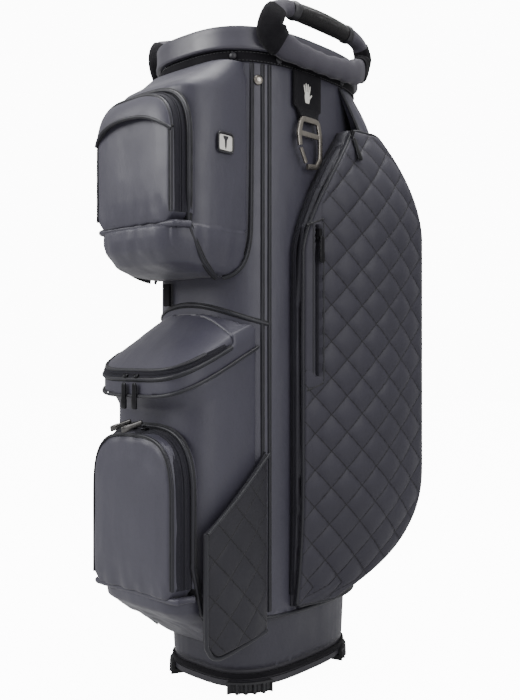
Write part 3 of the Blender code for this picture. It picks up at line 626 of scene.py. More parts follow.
for start, skin in (("base_boot", "boot"), ("base_foot", "rubber"), ("divider_frame", "moulding"),
                    ("divider_panel", "lining"), ("floor_pad", "lining"), ("press_stud", "steel"),
                    ("collar_rivet", "moulding"), ("valuables_slider", "black_metal"),
                    ("strap_anchor", "moulding")):
    for node in [n for name, n in NODES.items() if name.startswith(start)]:
        node.data.materials.clear()
        node.data.materials.append(SKINS[skin].material)


def oval_path(half_x, half_y, z, power=BODY_POWER):
    return np.insert(oval_profile(half_x, half_y, 360, power), 2, z, axis=1)


def band(name, half_x, half_y, z_low, z_high, thick, power, *stands_for):
    """Webbing sewn round the body, with bound edges."""
    path = oval_path(half_x + thick / 2, half_y + thick / 2, (z_low + z_high) / 2, power)
    profile = oval_profile((z_high - z_low) / 2, thick / 2, 20, 6.0)
    return sweep(name, path, outward(path), profile, "bag", "webbing", closed=True,
                 stands_for=stands_for)


def collar():
    """The moulded rim, a little hollow outside, with a rolled top edge."""
    low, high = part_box("top_collar")
    middle = (low.z + high.z) / 2
    path = oval_path(COLLAR_X - 0.0035, COLLAR_Y - 0.0035, middle)
    profile = np.array([(-0.0145, 0.0025), (-0.0125, 0.0035), (-0.006, 0.0031), (0.004, 0.0032),
                        (0.0105, 0.0042), (0.0135, 0.004), (0.0147, 0.0024), (0.0147, -0.0018),
                        (0.013, -0.0032), (0.0, -0.0035), (-0.0145, -0.0035)])
    sweep("collar_rim", path, outward(path), profile, "bag", "collar", closed=True,
          stands_for=("top_collar",))


collar()
band("collar_webbing", BODY_X + 0.0005, BODY_Y + 0.0005, 0.8122, 0.8252, 0.0022, BODY_POWER,
     "collar_band")
band("boot_webbing", 0.0902, 0.1232, 0.0195, 0.0262, 0.0032, 3.0, "base_band")
for edge, z in (("low", 0.8135), ("high", 0.824)):
    path = oval_path(BODY_X + 0.0027, BODY_Y + 0.0027, z)
    stitches(f"collar_stitches_{edge}", path, outward(path))


# --- front pockets -------------------------------------------------------------------------------


def pocket_height(crease_z, top_z=9.0):
    """Leather over foam: soft swells, and upright wrinkles by a seam and under the zip pulls."""

    def height(p, n):
        soft = wrinkles(p, 14.0, 0.0014, 4.0)
        if abs(n.x) > 0.7 and 0.545 < p.z < 0.5945:
            soft += 0.0022 * min(1.0, (p.z - 0.545) / 0.035)
        near = math.exp(-((p.z - crease_z) / 0.022) ** 2)
        soft += near * wrinkles(p, 70.0, 0.0021, 7.0, (1.0, 1.0, 0.26))
        below = math.exp(-((p.z - top_z) / 0.026) ** 2)
        return soft + below * wrinkles(p, 42.0, 0.003, 2.0, (1.0, 1.0, 0.3))
    return height


class Door:
    """An arched zip door's outline and depth, read from its CAD nodes."""

    def __init__(self, word, node, body, crown, roof=0.0):
        low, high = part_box(node)
        self.word, self.body, self.crown = word, body, crown
        self.half, self.low, self.high = high.x, low.z, high.z + roof
        self.front, self.back = low.y - SHIFT.y + crown, high.y - SHIFT.y
        self.spring = self.low + 0.55 * (self.high - self.low)
        self.lean = 0.0052  # how far the door narrows towards its front

    def top(self, x, inset=0.0):
        """The arch's height at x."""
        share = np.clip(np.abs(x) / self.half, 0, 1)
        return self.spring + (self.high - inset - self.spring) * (1 - share ** 3.2) ** (1 / 3.2)

    def route(self, y, grow=0.0, step=0.002):
        """The whole arch from the right foot over the crown to the left foot, at depth y."""
        right = [(x, y, z) for x, z in arch(self.half + grow, self.low, self.high + grow)]
        return curve(right + [(-x, y, z) for x, y, z in reversed(right[:-1])], step)

    def around(self, path):
        """Upright directions out from the arch's centre, squared off at its shoulders."""
        away = path - np.array([0.0, 0.0, self.low + 0.45 * (self.high - self.low)])
        away[:, 1:] = np.column_stack([np.zeros(len(path)), np.maximum(away[:, 2], 0)])
        return unit(np.sign(away) * np.abs(away) ** 2.2)

    def mesh(self):
        """The padded panel as rings from its back edge to its crowned middle."""
        rings, middle, lean, cover = [], (self.low + self.high) / 2, self.lean, 0.003
        layers = ((1.0, 0.0, self.back), (1.0, lean * 0.8, self.front + cover),
                  (1.0, lean + cover * 0.3, self.front + cover * 0.3), (1.0, lean + cover, self.front),
                  (0.86, 0.0, self.front - self.crown * 0.35),
                  (0.62, 0.0, self.front - self.crown * 0.75),
                  (0.3, 0.0, self.front - self.crown * 0.95))
        for share, inset, y in layers:
            foot = [(self.half - inset - 0.012, self.low + inset * 0.15)]
            points = foot + arch(self.half - inset, self.low + inset * 0.15, self.high - inset)
            points += [(-x, z) for x, z in reversed(points[:-1])]
            rings.append([(x * share, y, middle + (z - middle) * share) for x, z in points])
        n = len(rings[0])
        points = [Vector(p) + SHIFT for ring in rings for p in ring]
        faces = [(r * n + i, r * n + (i + 1) % n, (r + 1) * n + (i + 1) % n, (r + 1) * n + i)
                 for r in range(len(rings) - 1) for i in range(n)]
        faces += [tuple(range(n)), tuple(range((len(rings) - 1) * n, len(rings) * n))]
        made = bpy.data.meshes.new(self.word)
        made.from_pydata(points, [], faces)
        return made

    def seam(self):
        """The rolled seam under the door, on the pocket."""
        half, front, back = self.half - 0.0062, self.front + 0.0062, self.back
        side = [(half - 0.005, front), (half + 0.001, front + 0.006),
                (self.half - 0.003, back - 0.006), (self.half + 0.0016, back + 0.003)]
        corners = [(-x, y) for x, y in side[::-1]] + [(0.0, front)] + side
        route = curve([(x, y, self.low - 0.001) for x, y in corners], 0.003)
        sweep(f"{self.word}_seam_roll", route, UP, oval_profile(0.0042, 0.0042, 14), "bag", "leather")

    def trims(self, zip_half):
        """The inner piping, and the zip round the door's side."""
        edge = self.route(self.front + 0.0012, -self.lean - 0.0004)
        around = edge - np.array([0.0, self.front + 0.03, self.low + 0.45 * (self.high - self.low)])
        piping(f"{self.word}_inner_piping", edge, body=self.body, normals=unit(around))
        route = self.route((self.front + 0.003 + self.back) / 2, 0.0006 - self.lean * 0.42)
        away = self.around(route) - np.array([0.0, 0.26, 0.0])
        zip_tape(f"{self.word}_zip", route, unit(away), self.body, zip_half)


def soft_skin(name, node, voxel, relax, height, body="bag", source=None):
    """Leather over foam in place of a CAD solid."""
    dress(name, displaced(soft_copy(source or node, voxel, relax), height), body, "leather", node)


TREES = {node: tree_of(node) for node in (
    "upper_pocket_housing", "ball_pocket_housing", "cooler_box", "cooler_lid")}
UPPER = Door("upper", "upper_pocket_door", "upper_door", 0.0045, 0.021)
BALL = Door("ball", "ball_pocket_door", "ball_door", 0.007)
soft_skin("upper_pocket_skin", "upper_pocket_housing", 0.0026, 7, pocket_height(0.575))
soft_skin("upper_door_skin", "upper_pocket_door", 0.0021, 2, pocket_height(0.603), "upper_door",
          UPPER.mesh())
UPPER.seam()
BALL.seam()


def hood():
    """The flap over the upper door: sewn along the arch, bowed out, with an arched lower edge."""
    vv, uu = np.meshgrid(np.linspace(0, 1, 26), np.linspace(-1, 1, 121), indexing="ij")
    x_top, x_foot = (UPPER.half - 0.0062) * uu, (UPPER.half - 0.0046) * uu
    z_top = UPPER.top(x_top * 1.06, 0.0062) - 0.001
    z_foot = np.minimum(0.7275 - 0.021 * np.abs(uu) ** 2.6, z_top - 0.001)
    y_top = UPPER.front - 0.0012 + 0.0016 * np.abs(uu) ** 8
    y_foot = UPPER.front - 0.0118 + 0.01 * np.abs(uu) ** 4.0
    xx = x_top + (x_foot - x_top) * vv
    yy = y_top + (y_foot - y_top) * np.sin(vv * math.pi / 2) ** 0.9
    zz = z_top + (z_foot - z_top) * vv ** 1.1
    outer = np.stack([xx, yy, zz], -1)
    for row in outer:
        for point in row:
            point[1] -= wrinkles(Vector(point), 32.0, 0.0009, 5.0)
    points, faces = closed_sheet(outer, outer + np.array([0.0, 0.0026, -0.0002]))
    piece("hood_flap", points, faces, "upper_door", "leather", ("upper_pocket_hood",))
    sweep("hood_piping", outer[-1] + np.array([0.0, 0.001, -0.0006]), (0.0, -1.0, -0.6),
          oval_profile(0.0023, 0.0023), "upper_door", "trim")
    sweep("hood_shadow", outer[-1] + np.array([0.0, 0.0042, 0.0012]), FORWARD,
          oval_profile(0.003, 0.002), "upper_door", "crease_shadow")


soft_skin("ball_pocket_skin", "ball_pocket_housing", 0.0028, 7, pocket_height(0.105))
soft_skin("ball_door_skin", "ball_pocket_door", 0.0022, 2, pocket_height(0.15, 0.322), "ball_door",
          BALL.mesh())
soft_skin("cooler_skin", "cooler_box", 0.0024, 4, lambda p, n: wrinkles(p, 16.0, 0.0008, 3.0))
soft_skin("cooler_lid_skin", "cooler_lid", 0.0022, 5, lambda p, n: wrinkles(p, 18.0, 0.001, 6.0),
          "cooler_lid")
UPPER.trims(0.0088)
BALL.trims(0.0098)
hood()


def pocket_rim(door):
    """The narrow rim that carries the side panel forward to the door; returns its outer edge."""
    back = door.back
    outline = door.route(0.0, step=0.003)
    away = door.around(outline)
    outer = np.stack([outline + away * out + np.array([0.0, y, 0.0]) for out, y in (
        (-0.001, back + 0.01), (-0.0008, back + 0.0012), (0.0012, back - 0.0006),
        (0.003, back + 0.0006), (0.0032, back + 0.004), (-0.002, back + 0.0095),
        (-0.0095, back + 0.012))])
    points, faces = closed_sheet(outer, outer + np.array([0.0, 0.0012, 0.0]) - away * 0.0012)
    piece(f"{door.word}_rim", points, faces, "bag", "leather")
    return outline + away * 0.0036 + np.array([0.0, back - 0.0016, 0.0])


def outer_piping(door, edge, tail):
    """Along the rim's outer edge, then back round the bottom corners to the body."""
    edge = edge[edge[:, 2] > edge[0, 2] + 0.022]
    tail, _ = snap(curve(tail, 0.004), TREES[f"{door.word}_pocket_housing"], 0.0012)
    right = curve(np.vstack([tail, edge[:2]]), 0.002)[:-1]
    left = right[::-1] * np.array([-1.0, 1.0, 1.0])
    route = curve(np.vstack([right[::3], edge[2:-2:3], left[::3]]), 0.002)
    piping(f"{door.word}_outer_piping", route, radius=0.0027,
           normals=outward(route - np.array([0.0, -0.1, 0.0])))


upper_edge, ball_edge = pocket_rim(UPPER), pocket_rim(BALL)
outer_piping(UPPER, upper_edge, [
    (0.06, -0.15, 0.5365), (0.07, -0.168, 0.54), (0.0775, -0.185, 0.55),
    (0.08, -0.1985, 0.568), (0.08, -0.2075, 0.583), (0.0798, -0.212, 0.599)])
outer_piping(BALL, ball_edge, [
    (0.068, -0.14, 0.068), (0.078, -0.162, 0.085), (0.085, -0.185, 0.108),
    (0.0865, -0.198, 0.128)])


def upright_piping(name, side, y):
    path = [(side * float(oval_x(y)), y, z) for z in (SEAM_TOP, 0.6, 0.35, SEAM_FOOT)]
    piping(name, curve(path, 0.006))


for word, side in SIDES:
    rear = [(side * x, y, z) for x, y, z in (
        (0.0835, -0.109, 0.811), (0.0838, -0.11, 0.7), (0.0836, -0.111, 0.61),
        (0.0828, -0.113, 0.58), (0.08, -0.12, 0.556), (0.074, -0.131, 0.542),
        (0.064, -0.142, 0.536))]
    piping(f"upper_rear_piping_{word}", curve(rear, 0.003))
    upright_piping(f"body_piping_{word}_1", side, -0.0965)
    upright_piping(f"body_piping_{word}_2", side, -0.0875)
    upright_piping(f"back_piping_{word}", side, 0.126)


# --- cooler trims ---------------------------------------------------------------------------------

BAND_SLOPE, RIM_Z = 0.45, 0.411
COOLER_HALF, COOLER_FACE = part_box("cooler_box")[1].x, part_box("cooler_box")[0].y - SHIFT.y
COOLER_ROOT = -0.1


def cooler_ring(rise, out, forward, start, end):
    """Part of the cooler's sloping section, which has 60 steps from its right root to its left."""
    face = COOLER_FACE - forward
    ring = super_oval(-np.pi * np.arange(61) / 60, COOLER_HALF + out, COOLER_ROOT - face, 4.5)
    y = COOLER_ROOT + ring[:, 1]
    route = np.column_stack([ring[:, 0], y, RIM_Z + rise + BAND_SLOPE * (y - face)])
    return curve(route[start:end], 0.002)


piping("lid_piping", cooler_ring(0.0085, -0.001, -0.002, 8, 53), TREES["cooler_lid"], "cooler_lid",
       0.0018)
path, normals = snap(cooler_ring(0.004, 0.0002, 0.0002, 3, 58), TREES["cooler_lid"], 0.0007, 6)
share = np.linspace(0, 1, len(path))
zip_tape("cooler_zip", path, normals, "cooler_lid", 0.0038,
         np.minimum(1, 0.5 + 5 * np.minimum(share, 1 - share)) * (1 + 0.5 * (2 * share - 1) ** 2))
piping("cooler_rim_piping", cooler_ring(-0.0022, 0.0005, 0.0005, 2, 59), TREES["cooler_box"],
       radius=0.0022)
piping("cooler_foot_piping", cooler_ring(-0.023, 0.0005, 0.0005, 0, 61), TREES["cooler_box"],
       radius=0.0022, shadow_bed=0.0)

x = np.linspace(-0.094, 0.094, 60)
back_seam = np.column_stack([x, -oval_y(x) - 0.0006, 0.5035 - 0.0225 * (x / 0.088) ** 2])
piping("cooler_back_piping", back_seam, radius=0.0024,
       normals=unit(back_seam * np.array([0.2, 1.0, 0.0])))
hem = oval_path(BODY_X - 0.0002, BODY_Y - 0.0002, 0.1005)
sweep("hem_piping", hem, outward(hem), oval_profile(0.0026, 0.003, 12), "bag", "trim", closed=True)


# --- quilted side pockets -------------------------------------------------------------------------


def quilt_puff(s, z, depth=0.0048):
    a, b = (s + z) / QUILT, (s - z) / QUILT
    swell = np.abs(np.sin(np.pi * a)) * np.abs(np.sin(np.pi * b))
    return depth * (swell ** 0.32 - 0.75)


SIDE_LOW, SIDE_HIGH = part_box("side_door_right")[0].z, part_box("side_door_right")[1].z
VALUABLES_Y, VALUABLES_LOW, VALUABLES_HIGH = -0.0358, 0.408, 0.608
STRIP_Y, DOOR_DEEP = -0.0305, 0.0096


def side_door(word, side):
    """The quilted door, smooth in front of the valuables zip on the right side."""
    z = np.linspace(SIDE_LOW, SIDE_HIGH, 250)
    t = np.concatenate([np.linspace(0, 0.06, 8)[:-1], np.linspace(0.06, 0.94, 96),
                        np.linspace(0.94, 1, 8)[1:]])
    zz, tt = np.meshgrid(z, t, indexing="ij")
    front, back = side_front(zz), side_back(zz)
    yy = front + (back - front) * tt
    xx = side_out(yy, zz)
    run = np.cumsum(np.hypot(np.diff(yy, axis=1), np.diff(xx, axis=1)), axis=1)
    run = np.concatenate([np.zeros((len(z), 1)), run], axis=1)
    s = run - np.array([np.interp(0.05, yy[j], run[j]) for j in range(len(z))])[:, None]
    edge = np.minimum(np.minimum(run, run[:, -1:] - run), np.minimum(zz - SIDE_LOW, SIDE_HIGH - zz))
    strip = (side > 0) & (yy < STRIP_Y) & (zz > VALUABLES_LOW + 0.6 * (STRIP_Y - yy))
    puff = np.where(strip, 0.0, quilt_puff(s, zz))
    out = puff * np.clip((edge - 0.004) / 0.01, 0, 1) - edge_inset(edge, 0.005)
    slope = np.gradient(xx, axis=1) / np.maximum(np.gradient(yy, axis=1), 1e-6)
    nx, ny = 1 / np.hypot(1, slope), -slope / np.hypot(1, slope)
    outer = np.stack([xx + out * nx, yy + out * ny, zz], -1)
    slot = ((side > 0) & (np.abs(yy - VALUABLES_Y) < 0.0036) & (zz > VALUABLES_LOW + 0.002)
            & (zz < VALUABLES_HIGH - 0.002))
    outer[slot] -= np.array([0.0045, 0.0, 0.0])
    inner = np.stack([xx - DOOR_DEEP * nx, np.clip(yy - DOOR_DEEP * ny, front, back), zz], -1)
    points, faces = closed_sheet(outer, inner)
    points[:, 0] *= side
    flat = np.stack([np.where(strip, QUILT / 2, s), np.where(strip, 0.0, zz)], -1).reshape(-1, 2)
    piece(f"side_quilt_{word}", points, faces, f"side_door_{word}", "quilt",
          (f"side_door_{word}",), np.vstack([flat, flat]))


for word, side in SIDES:
    side_door(word, side)


def side_edge(side, inset=0.0012, sunk=0.003):
    """Up the front edge of the side door, over its top, down the back edge and along its foot."""

    def row(y, z, rise=0.0):
        return np.column_stack([side * (side_out(y, z) - sunk), y, np.full(len(y), z + rise)])

    z = np.linspace(SIDE_LOW + 0.006, SIDE_HIGH - 0.004, 60)
    front, back = side_front(z) + inset, side_back(z) - inset
    top = np.linspace(front[-1], back[-1], 6)[1:-1]
    foot = np.linspace(back[0], front[0], 12)[1:-1]
    return np.vstack([row(front, z), row(top, SIDE_HIGH - 0.003, 0.002), row(back, z)[::-1],
                      row(foot, SIDE_LOW, 0.001)])


def plain_sweep(name, route, normals, radius, body, skin="trim", closed=False):
    return sweep(name, route, normals, oval_profile(radius, radius), body, skin, closed=closed)


for word, side in SIDES:
    route = curve(side_edge(side), 0.0025, closed=True)
    plain_sweep(f"side_piping_{word}", route, outward(route), 0.0022, f"side_door_{word}", closed=True)
    dress(f"side_gusset_{word}",
          displaced(sliced_copy(f"side_housing_{word}", (0.0, 0.008, 0.008)),
                    lambda p, n: wrinkles(p, 20.0, 0.0008, 9.0)),
          "bag", "gusset", f"side_housing_{word}")
    z = np.linspace(0.125, 0.722, 80)
    y = side_front(z)
    mid = np.column_stack([side * 0.5 * (oval_x(y) + side_out(y, z) - 0.01), y - 0.0004, z])
    out = unit(np.column_stack([np.zeros(80), -np.ones(80), np.gradient(y, z)]))
    zip_tape(f"side_zip_{word}", mid, out, "bag", 0.0036)


def on_side(y, z, lift=0.0):
    """Points on the right side door's face, with its outward directions."""
    y, z = np.asarray(y, float), np.asarray(z, float)
    x = side_out(y, z)
    slope = (side_out(y + 0.001, z) - x) / 0.001
    normals = unit(np.column_stack([np.ones(len(y)), -slope, np.zeros(len(y))]))
    return np.column_stack([x, y, z]) + normals * lift, normals


def valuables():
    """The zip in the right door's smooth strip, and the seam where the quilting starts."""
    z = np.linspace(VALUABLES_LOW - 0.004, VALUABLES_HIGH + 0.002, 80)
    path, normals = on_side(np.full(80, VALUABLES_Y), z, -0.004)
    zip_tape("valuables_zip", path, normals, "side_door_right", 0.0058)
    for word, y in (("front", VALUABLES_Y - 0.0068), ("back", VALUABLES_Y + 0.0068)):
        path, normals = on_side(np.full(80, y), z, -0.0002)
        piping(f"valuables_{word}_piping", path, None, "side_door_right", 0.0012, normals=normals)
    front = float(side_front(0.4)) + 0.004
    corner = curve([(0.0, front, 0.392), (0.0, VALUABLES_Y + 0.0068, 0.4015)], 0.002)
    # each is a real seam, drawn as a thin cord in the seam-shadow cloth so it shows as a dark line of painted
    # shade
    for word, foot in (("low", corner), ("high", corner + np.array([0.0, 0.0, 0.214]))):
        path, normals = on_side(foot[:, 1], foot[:, 2], -0.0002)
        piping(f"valuables_{word}_seam", path, None, "side_door_right", 0.0011, skin="crease_shadow",
               normals=normals)


valuables()


def rear_shoulder(word, side):
    """The leather gusset that runs from the collar down to the top of the side pocket."""
    v, u = np.meshgrid(np.linspace(0, 1, 40), np.linspace(0, 1, 30), indexing="ij")
    y_top = 0.05 + 0.08 * u
    top = np.stack([oval_x(y_top) + 0.0015, y_top, np.full_like(u, 0.81)], -1)
    y_low = 0.078 + 0.042 * u
    x_low = 0.1265 + 0.013 * np.sin(u * 2.2) - 0.018 * u ** 2
    low = np.stack([x_low, y_low, 0.731 - 0.048 * u], -1)
    sheet = top + (low - top) * v[..., None]
    sheet[..., 0] += 0.0075 * np.sin(np.pi * v) * np.sin(np.pi * np.clip(u + 0.1, 0, 1))
    inner = sheet - np.array([0.004, 0.0, 0.0]) - np.array([0.01, 0.0, 0.0]) * v[..., None]
    sheet[..., 0] *= side
    inner[..., 0] *= side
    points, faces = closed_sheet(sheet, inner)
    piece(f"rear_gusset_{word}", points, faces, "bag", "leather")
    piping(f"rear_gusset_piping_{word}", curve(sheet[::6, 0], 0.003))


for word, side in SIDES:
    rear_shoulder(word, side)


# --- handles --------------------------------------------------------------------------------------

COLLAR_FACE = 0.003
GRIP_X, GRIP_Z, GRIP_HALF = 0.11, 0.886, 0.0545
PAD_ROUTE = (  # y, z, half height across the route, half thickness
    (0.062, 0.886, 0.0098, 0.0085), (0.076, 0.884, 0.0105, 0.009), (0.09, 0.877, 0.0125, 0.01),
    (0.099, 0.864, 0.0155, 0.0105), (0.099, 0.85, 0.0175, 0.0105), (0.086, 0.836, 0.0175, 0.01),
    (0.06, 0.8285, 0.015, 0.009), (0.03, 0.8265, 0.014, 0.0082), (0.0, 0.8262, 0.0135, 0.008),
)


def handle(word, side):
    """A lift handle: the mesh-covered loop, its webbing wraps, and the rubber grip between cuffs."""
    half = np.array(PAD_ROUTE)
    rows = np.vstack([half * np.array([-1, 1, 1, 1]), half[-2::-1]])
    rows[:, 1] += 0.006 * np.clip(rows[:, 0] / 0.09, 0, 1) * np.clip((0.862 - rows[:, 1]) / 0.02, 0, 1)
    y, z, _ = curve(np.column_stack([rows[:, :2], np.zeros(len(rows))]), 0.0025).T
    order = np.argsort(half[:, 1])
    wide = np.interp(z, half[order, 1], half[order, 2])
    thick = np.interp(z, half[order, 1], half[order, 3])
    on_collar = oval_x(y, COLLAR_X, COLLAR_Y) + COLLAR_FACE + 0.006
    rise = np.clip((z - 0.835) / 0.045, 0, 1)
    path = np.column_stack([side * (on_collar * (1 - rise) + GRIP_X * rise), y, z])
    sag = 1 + 0.05 * np.sin(np.arange(len(path)) * 0.55)
    scale = np.column_stack([wide * sag, thick])
    cushion = sweep(f"handle_padding_{word}", path, outward(path), oval_profile(1.0, 1.0, 20, 2.6),
                    "bag", "mesh", scale, stands_for=(f"handle_pad_{word}", f"handle_frame_{word}"))
    for end, sign in (("front", -1), ("rear", 1)):
        leg = (np.sign(y) == sign) & (z > 0.834) & (z < 0.876) & (np.abs(y) > 0.085)
        sweep(f"handle_wrap_{end}_{word}", path[leg], outward(path[leg]),
              oval_profile(1.07, 1.14, 20, 3.2), "bag", "webbing", scale[leg])
    y = np.linspace(-GRIP_HALF, GRIP_HALF, 60)
    share = np.abs(y) / GRIP_HALF
    fat = 0.0112 + 0.001 * np.cos(np.pi * share * 0.5) - 0.0022 * np.clip((share - 0.95) / 0.05, 0, 1)
    grip = np.column_stack([np.full(60, side * GRIP_X), y, GRIP_Z + 0.0018 * (1 - share ** 2)])
    sweep(f"handle_rubber_{word}", grip, UP, oval_profile(1.0, 1.0, 28),
          "bag", "grip", np.column_stack([fat, fat]), stands_for=(f"handle_grip_{word}",))
    fat = np.array([0.0118, 0.0124, 0.0126, 0.0126, 0.0125, 0.0122, 0.0116, 0.0104])
    for end, sign in (("front", -1), ("rear", 1)):
        y = sign * np.linspace(0.0525, 0.064, 8)
        cuff = np.column_stack([np.full(8, side * GRIP_X), y, np.full(8, GRIP_Z)])
        sweep(f"handle_cuff_{word}_{end}", cuff, UP, oval_profile(1.0, 1.0, 24), "bag", "moulding",
              np.column_stack([fat, fat]))


for word, side in SIDES:
    handle(word, side)


# --- straps, pads and small fittings --------------------------------------------------------------


def shoulder():
    """The shoulder strap, hung from anchor to anchor, and its pad."""
    strap = curve([(0.0, 0.152, 0.8), (0.0, 0.176, 0.76), (0.0, 0.196, 0.64), (0.0, 0.2, 0.52),
                   (0.0, 0.188, 0.38), (0.0, 0.16, 0.262), (0.0, 0.1515, 0.24)], 0.004)
    out = unit(np.cross(unit(np.gradient(strap, axis=0)), X_AXIS))
    out *= np.sign(out[:, 1:2] + 1e-9)
    sweep("shoulder_webbing", strap, out, oval_profile(0.019, 0.0012, 20, 7.0), "bag", "webbing",
          stands_for=("shoulder_strap",))
    low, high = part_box("shoulder_pad")
    inside = (strap[:, 2] > low.z) & (strap[:, 2] < high.z)
    path = (strap + out * 0.0058)[inside]
    ends = np.sqrt(np.clip(1 - np.abs(2 * np.linspace(0, 1, len(path)) - 1) ** 8, 0, 1))
    cushion = sweep("shoulder_cushion", path, out[inside], oval_profile(0.03, 0.0045, 24, 3.2),
                    "bag", "mesh", np.column_stack([0.35 + 0.65 * ends, 0.25 + 0.75 * ends]),
                    stands_for=("shoulder_pad",))


shoulder()


def spine():
    """The back cushion: three padded channels down the back."""
    low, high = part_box("spine_pad")
    half, z_low, z_high = high.x, low.z, high.z
    zz, xx = np.meshgrid(np.linspace(z_low, z_high, 200), np.linspace(-half, half, 60), indexing="ij")
    base = oval_y(xx) + 0.001
    edge = np.minimum(half - np.abs(xx), np.minimum(zz - z_low, z_high - zz))
    channel = np.abs(np.sin(np.pi * (xx / half + 1) * 1.5)) ** 0.4
    cross = np.abs(np.sin(np.pi * (zz - z_low) / (z_high - z_low) * 4)) ** 0.25
    rounding = np.sqrt(np.clip(1 - (1 - np.clip(edge / 0.006, 0, 1)) ** 2, 0, 1))
    thick = (0.0035 + 0.0035 * channel * cross) * rounding
    outer = np.stack([xx, base + thick, zz], -1)
    inner = np.stack([xx, base, zz], -1)
    points, faces = closed_sheet(outer, inner)
    flat = np.stack([xx, zz], -1).reshape(-1, 2)
    made = piece("spine_cushion", points, faces, "bag", "mesh", ("spine_pad",), np.vstack([flat, flat]))


spine()


GLOVE_Y = -0.0255


def glove():
    """The glove strap: doubled webbing, with a loop at its foot for the clip."""
    z = np.concatenate([[0.8115], np.linspace(0.806, 0.762, 16), [0.757, 0.752, 0.7485, 0.747]])
    y = np.full(len(z), GLOVE_Y)
    path = np.column_stack([oval_x(y) + 0.0026, y, z])
    path[-5:, 0] += np.array([0.0006, 0.0012, 0.0022, 0.0036, 0.005])
    width = np.full(len(z), 0.0285)
    width[-5:] = [0.0235, 0.0205, 0.019, 0.0185, 0.018]
    thick = np.full(len(z), 0.0016)
    thick[-4:] = [0.0024, 0.0034, 0.0036, 0.003]
    sweep("glove_webbing", path, X_AXIS, oval_profile(1.0, 1.0, 22, 6.0), "bag", "webbing",
          np.column_stack([width, thick]), stands_for=("glove_strap",))


glove()


def carabiner():
    """A flat-barred clip: a bent frame with its crossbar, and the gate on the lower front corner."""
    plane, middle = 0.1138, -0.026

    def bar(name, points, body, half, stands_for=()):
        points = np.array(points)
        route = [np.linspace(a, b, 7)[:-1] for a, b in zip(points, points[1:])]
        route = np.vstack(route + [points[-1:]])
        route[1:-1] = (route[:-2] + 2 * route[1:-1] + route[2:]) / 4
        path = np.column_stack([np.full(len(route), plane), middle + route[:, 0], route[:, 1]])
        sweep(name, path, X_AXIS, oval_profile(*half, 12, 6.0), body, "steel", stands_for=stands_for)

    bar("clip_frame", [(-0.0072, 0.6862), (0.012, 0.688), (0.02, 0.7), (0.02, 0.7285),
                       (0.0145, 0.748), (-0.019, 0.748), (-0.0245, 0.7285), (-0.022, 0.7126)],
        "carabiner", (0.0036, 0.0019), ("carabiner_frame",))
    bar("clip_bar", [(-0.0235, 0.7285), (0.0195, 0.7285)], "carabiner", (0.0034, 0.0017))
    bar("clip_gate", [(-0.0098, 0.691), (-0.0206, 0.7094)], "carabiner_gate", (0.0028, 0.0015),
        ("carabiner_gate",))


carabiner()


def plate(name, outline, depth, skin, centre, stands_for=()):
    """A flat shape on the right side, from (y, z) points about its centre."""
    outline = np.array(outline)
    back = np.insert(outline, 0, 0.0, axis=1) + np.array(centre)
    n = len(outline)
    faces = [tuple(range(n)), tuple(range(n, 2 * n))]
    faces += [(i, (i + 1) % n, n + (i + 1) % n, n + i) for i in range(n)]
    piece(name, np.vstack([back + np.array([depth, 0.0, 0.0]), back]), faces, "bag", skin, stands_for,
          np.vstack([outline, outline]))


def hand_sign():
    """A plain open hand, drawn as one palm with four fingers and a thumb."""
    y, z, grow = -0.027, 0.782, 1.3
    x = float(oval_x(y)) + 0.0043
    strokes = [((-0.0032, 0.002), (-0.0052, 0.0105)), ((-0.0012, 0.003), (-0.002, 0.0125)),
               ((0.001, 0.003), (0.0014, 0.0125)), ((0.003, 0.002), (0.0046, 0.0108)),
               ((0.003, -0.003), (0.0075, 0.002))]
    t = np.linspace(0, 1, 8)[:, None]
    fat = np.sqrt(np.clip(1 - (2 * t - 1) ** 6, 0.02, 1)) * 0.00125
    parts = [sweep_mesh(np.linspace((x, y + grow * a, z + grow * b), (x, y + grow * c, z + grow * d), 8),
                        X_AXIS, oval_profile(1.0, 0.35), np.repeat(fat, 2, 1))
             for (a, b), (c, d) in strokes]
    t = np.linspace(0, 1, 12)[:, None]
    fat = 0.001 + 0.0044 * np.sqrt(np.clip(np.sin(np.pi * (0.1 + 0.75 * t)), 0, 1))
    parts.append(sweep_mesh(np.linspace((x, y, 0.772), (x, y, 0.787), 12), X_AXIS,
                            oval_profile(1.0, 0.12, 14), np.repeat(fat, 2, 1)))
    points, faces, flat = joined(parts)
    piece("hand_sign", points, faces, "bag", "white", flat=flat)


hand_sign()


def badge():
    """A small window with a generic tee behind it, in a black frame."""
    low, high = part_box("tee_badge")
    x, y, z = low.x, (low.y + high.y) / 2 - SHIFT.y, (low.z + high.z) / 2
    half_w, half_h = (high.y - low.y) / 2 + 0.004, (high.z - low.z) / 2 + 0.001
    card = oval_profile(half_w * 0.93, half_h * 0.8, 32, 6.0)
    plate("badge_card", card, 0.001, "white", (x, y, z), ("tee_badge",))
    rim = np.insert(oval_profile(half_w, half_h, 40, 6.0) + np.array([y, z]), 0, x + 0.0012, axis=1)
    plain_sweep("badge_frame", rim, X_AXIS, 0.0014, "bag", "moulding", closed=True)
    tee = [(-0.0042, 0.008), (0.0042, 0.008), (0.0038, 0.0055), (0.0016, 0.003), (0.0011, -0.005),
           (0.0, -0.0082), (-0.0011, -0.005), (-0.0016, 0.003), (-0.0038, 0.0055)]
    plate("badge_tee", tee, 0.0006, "moulding", (x + 0.001, y, z))


badge()


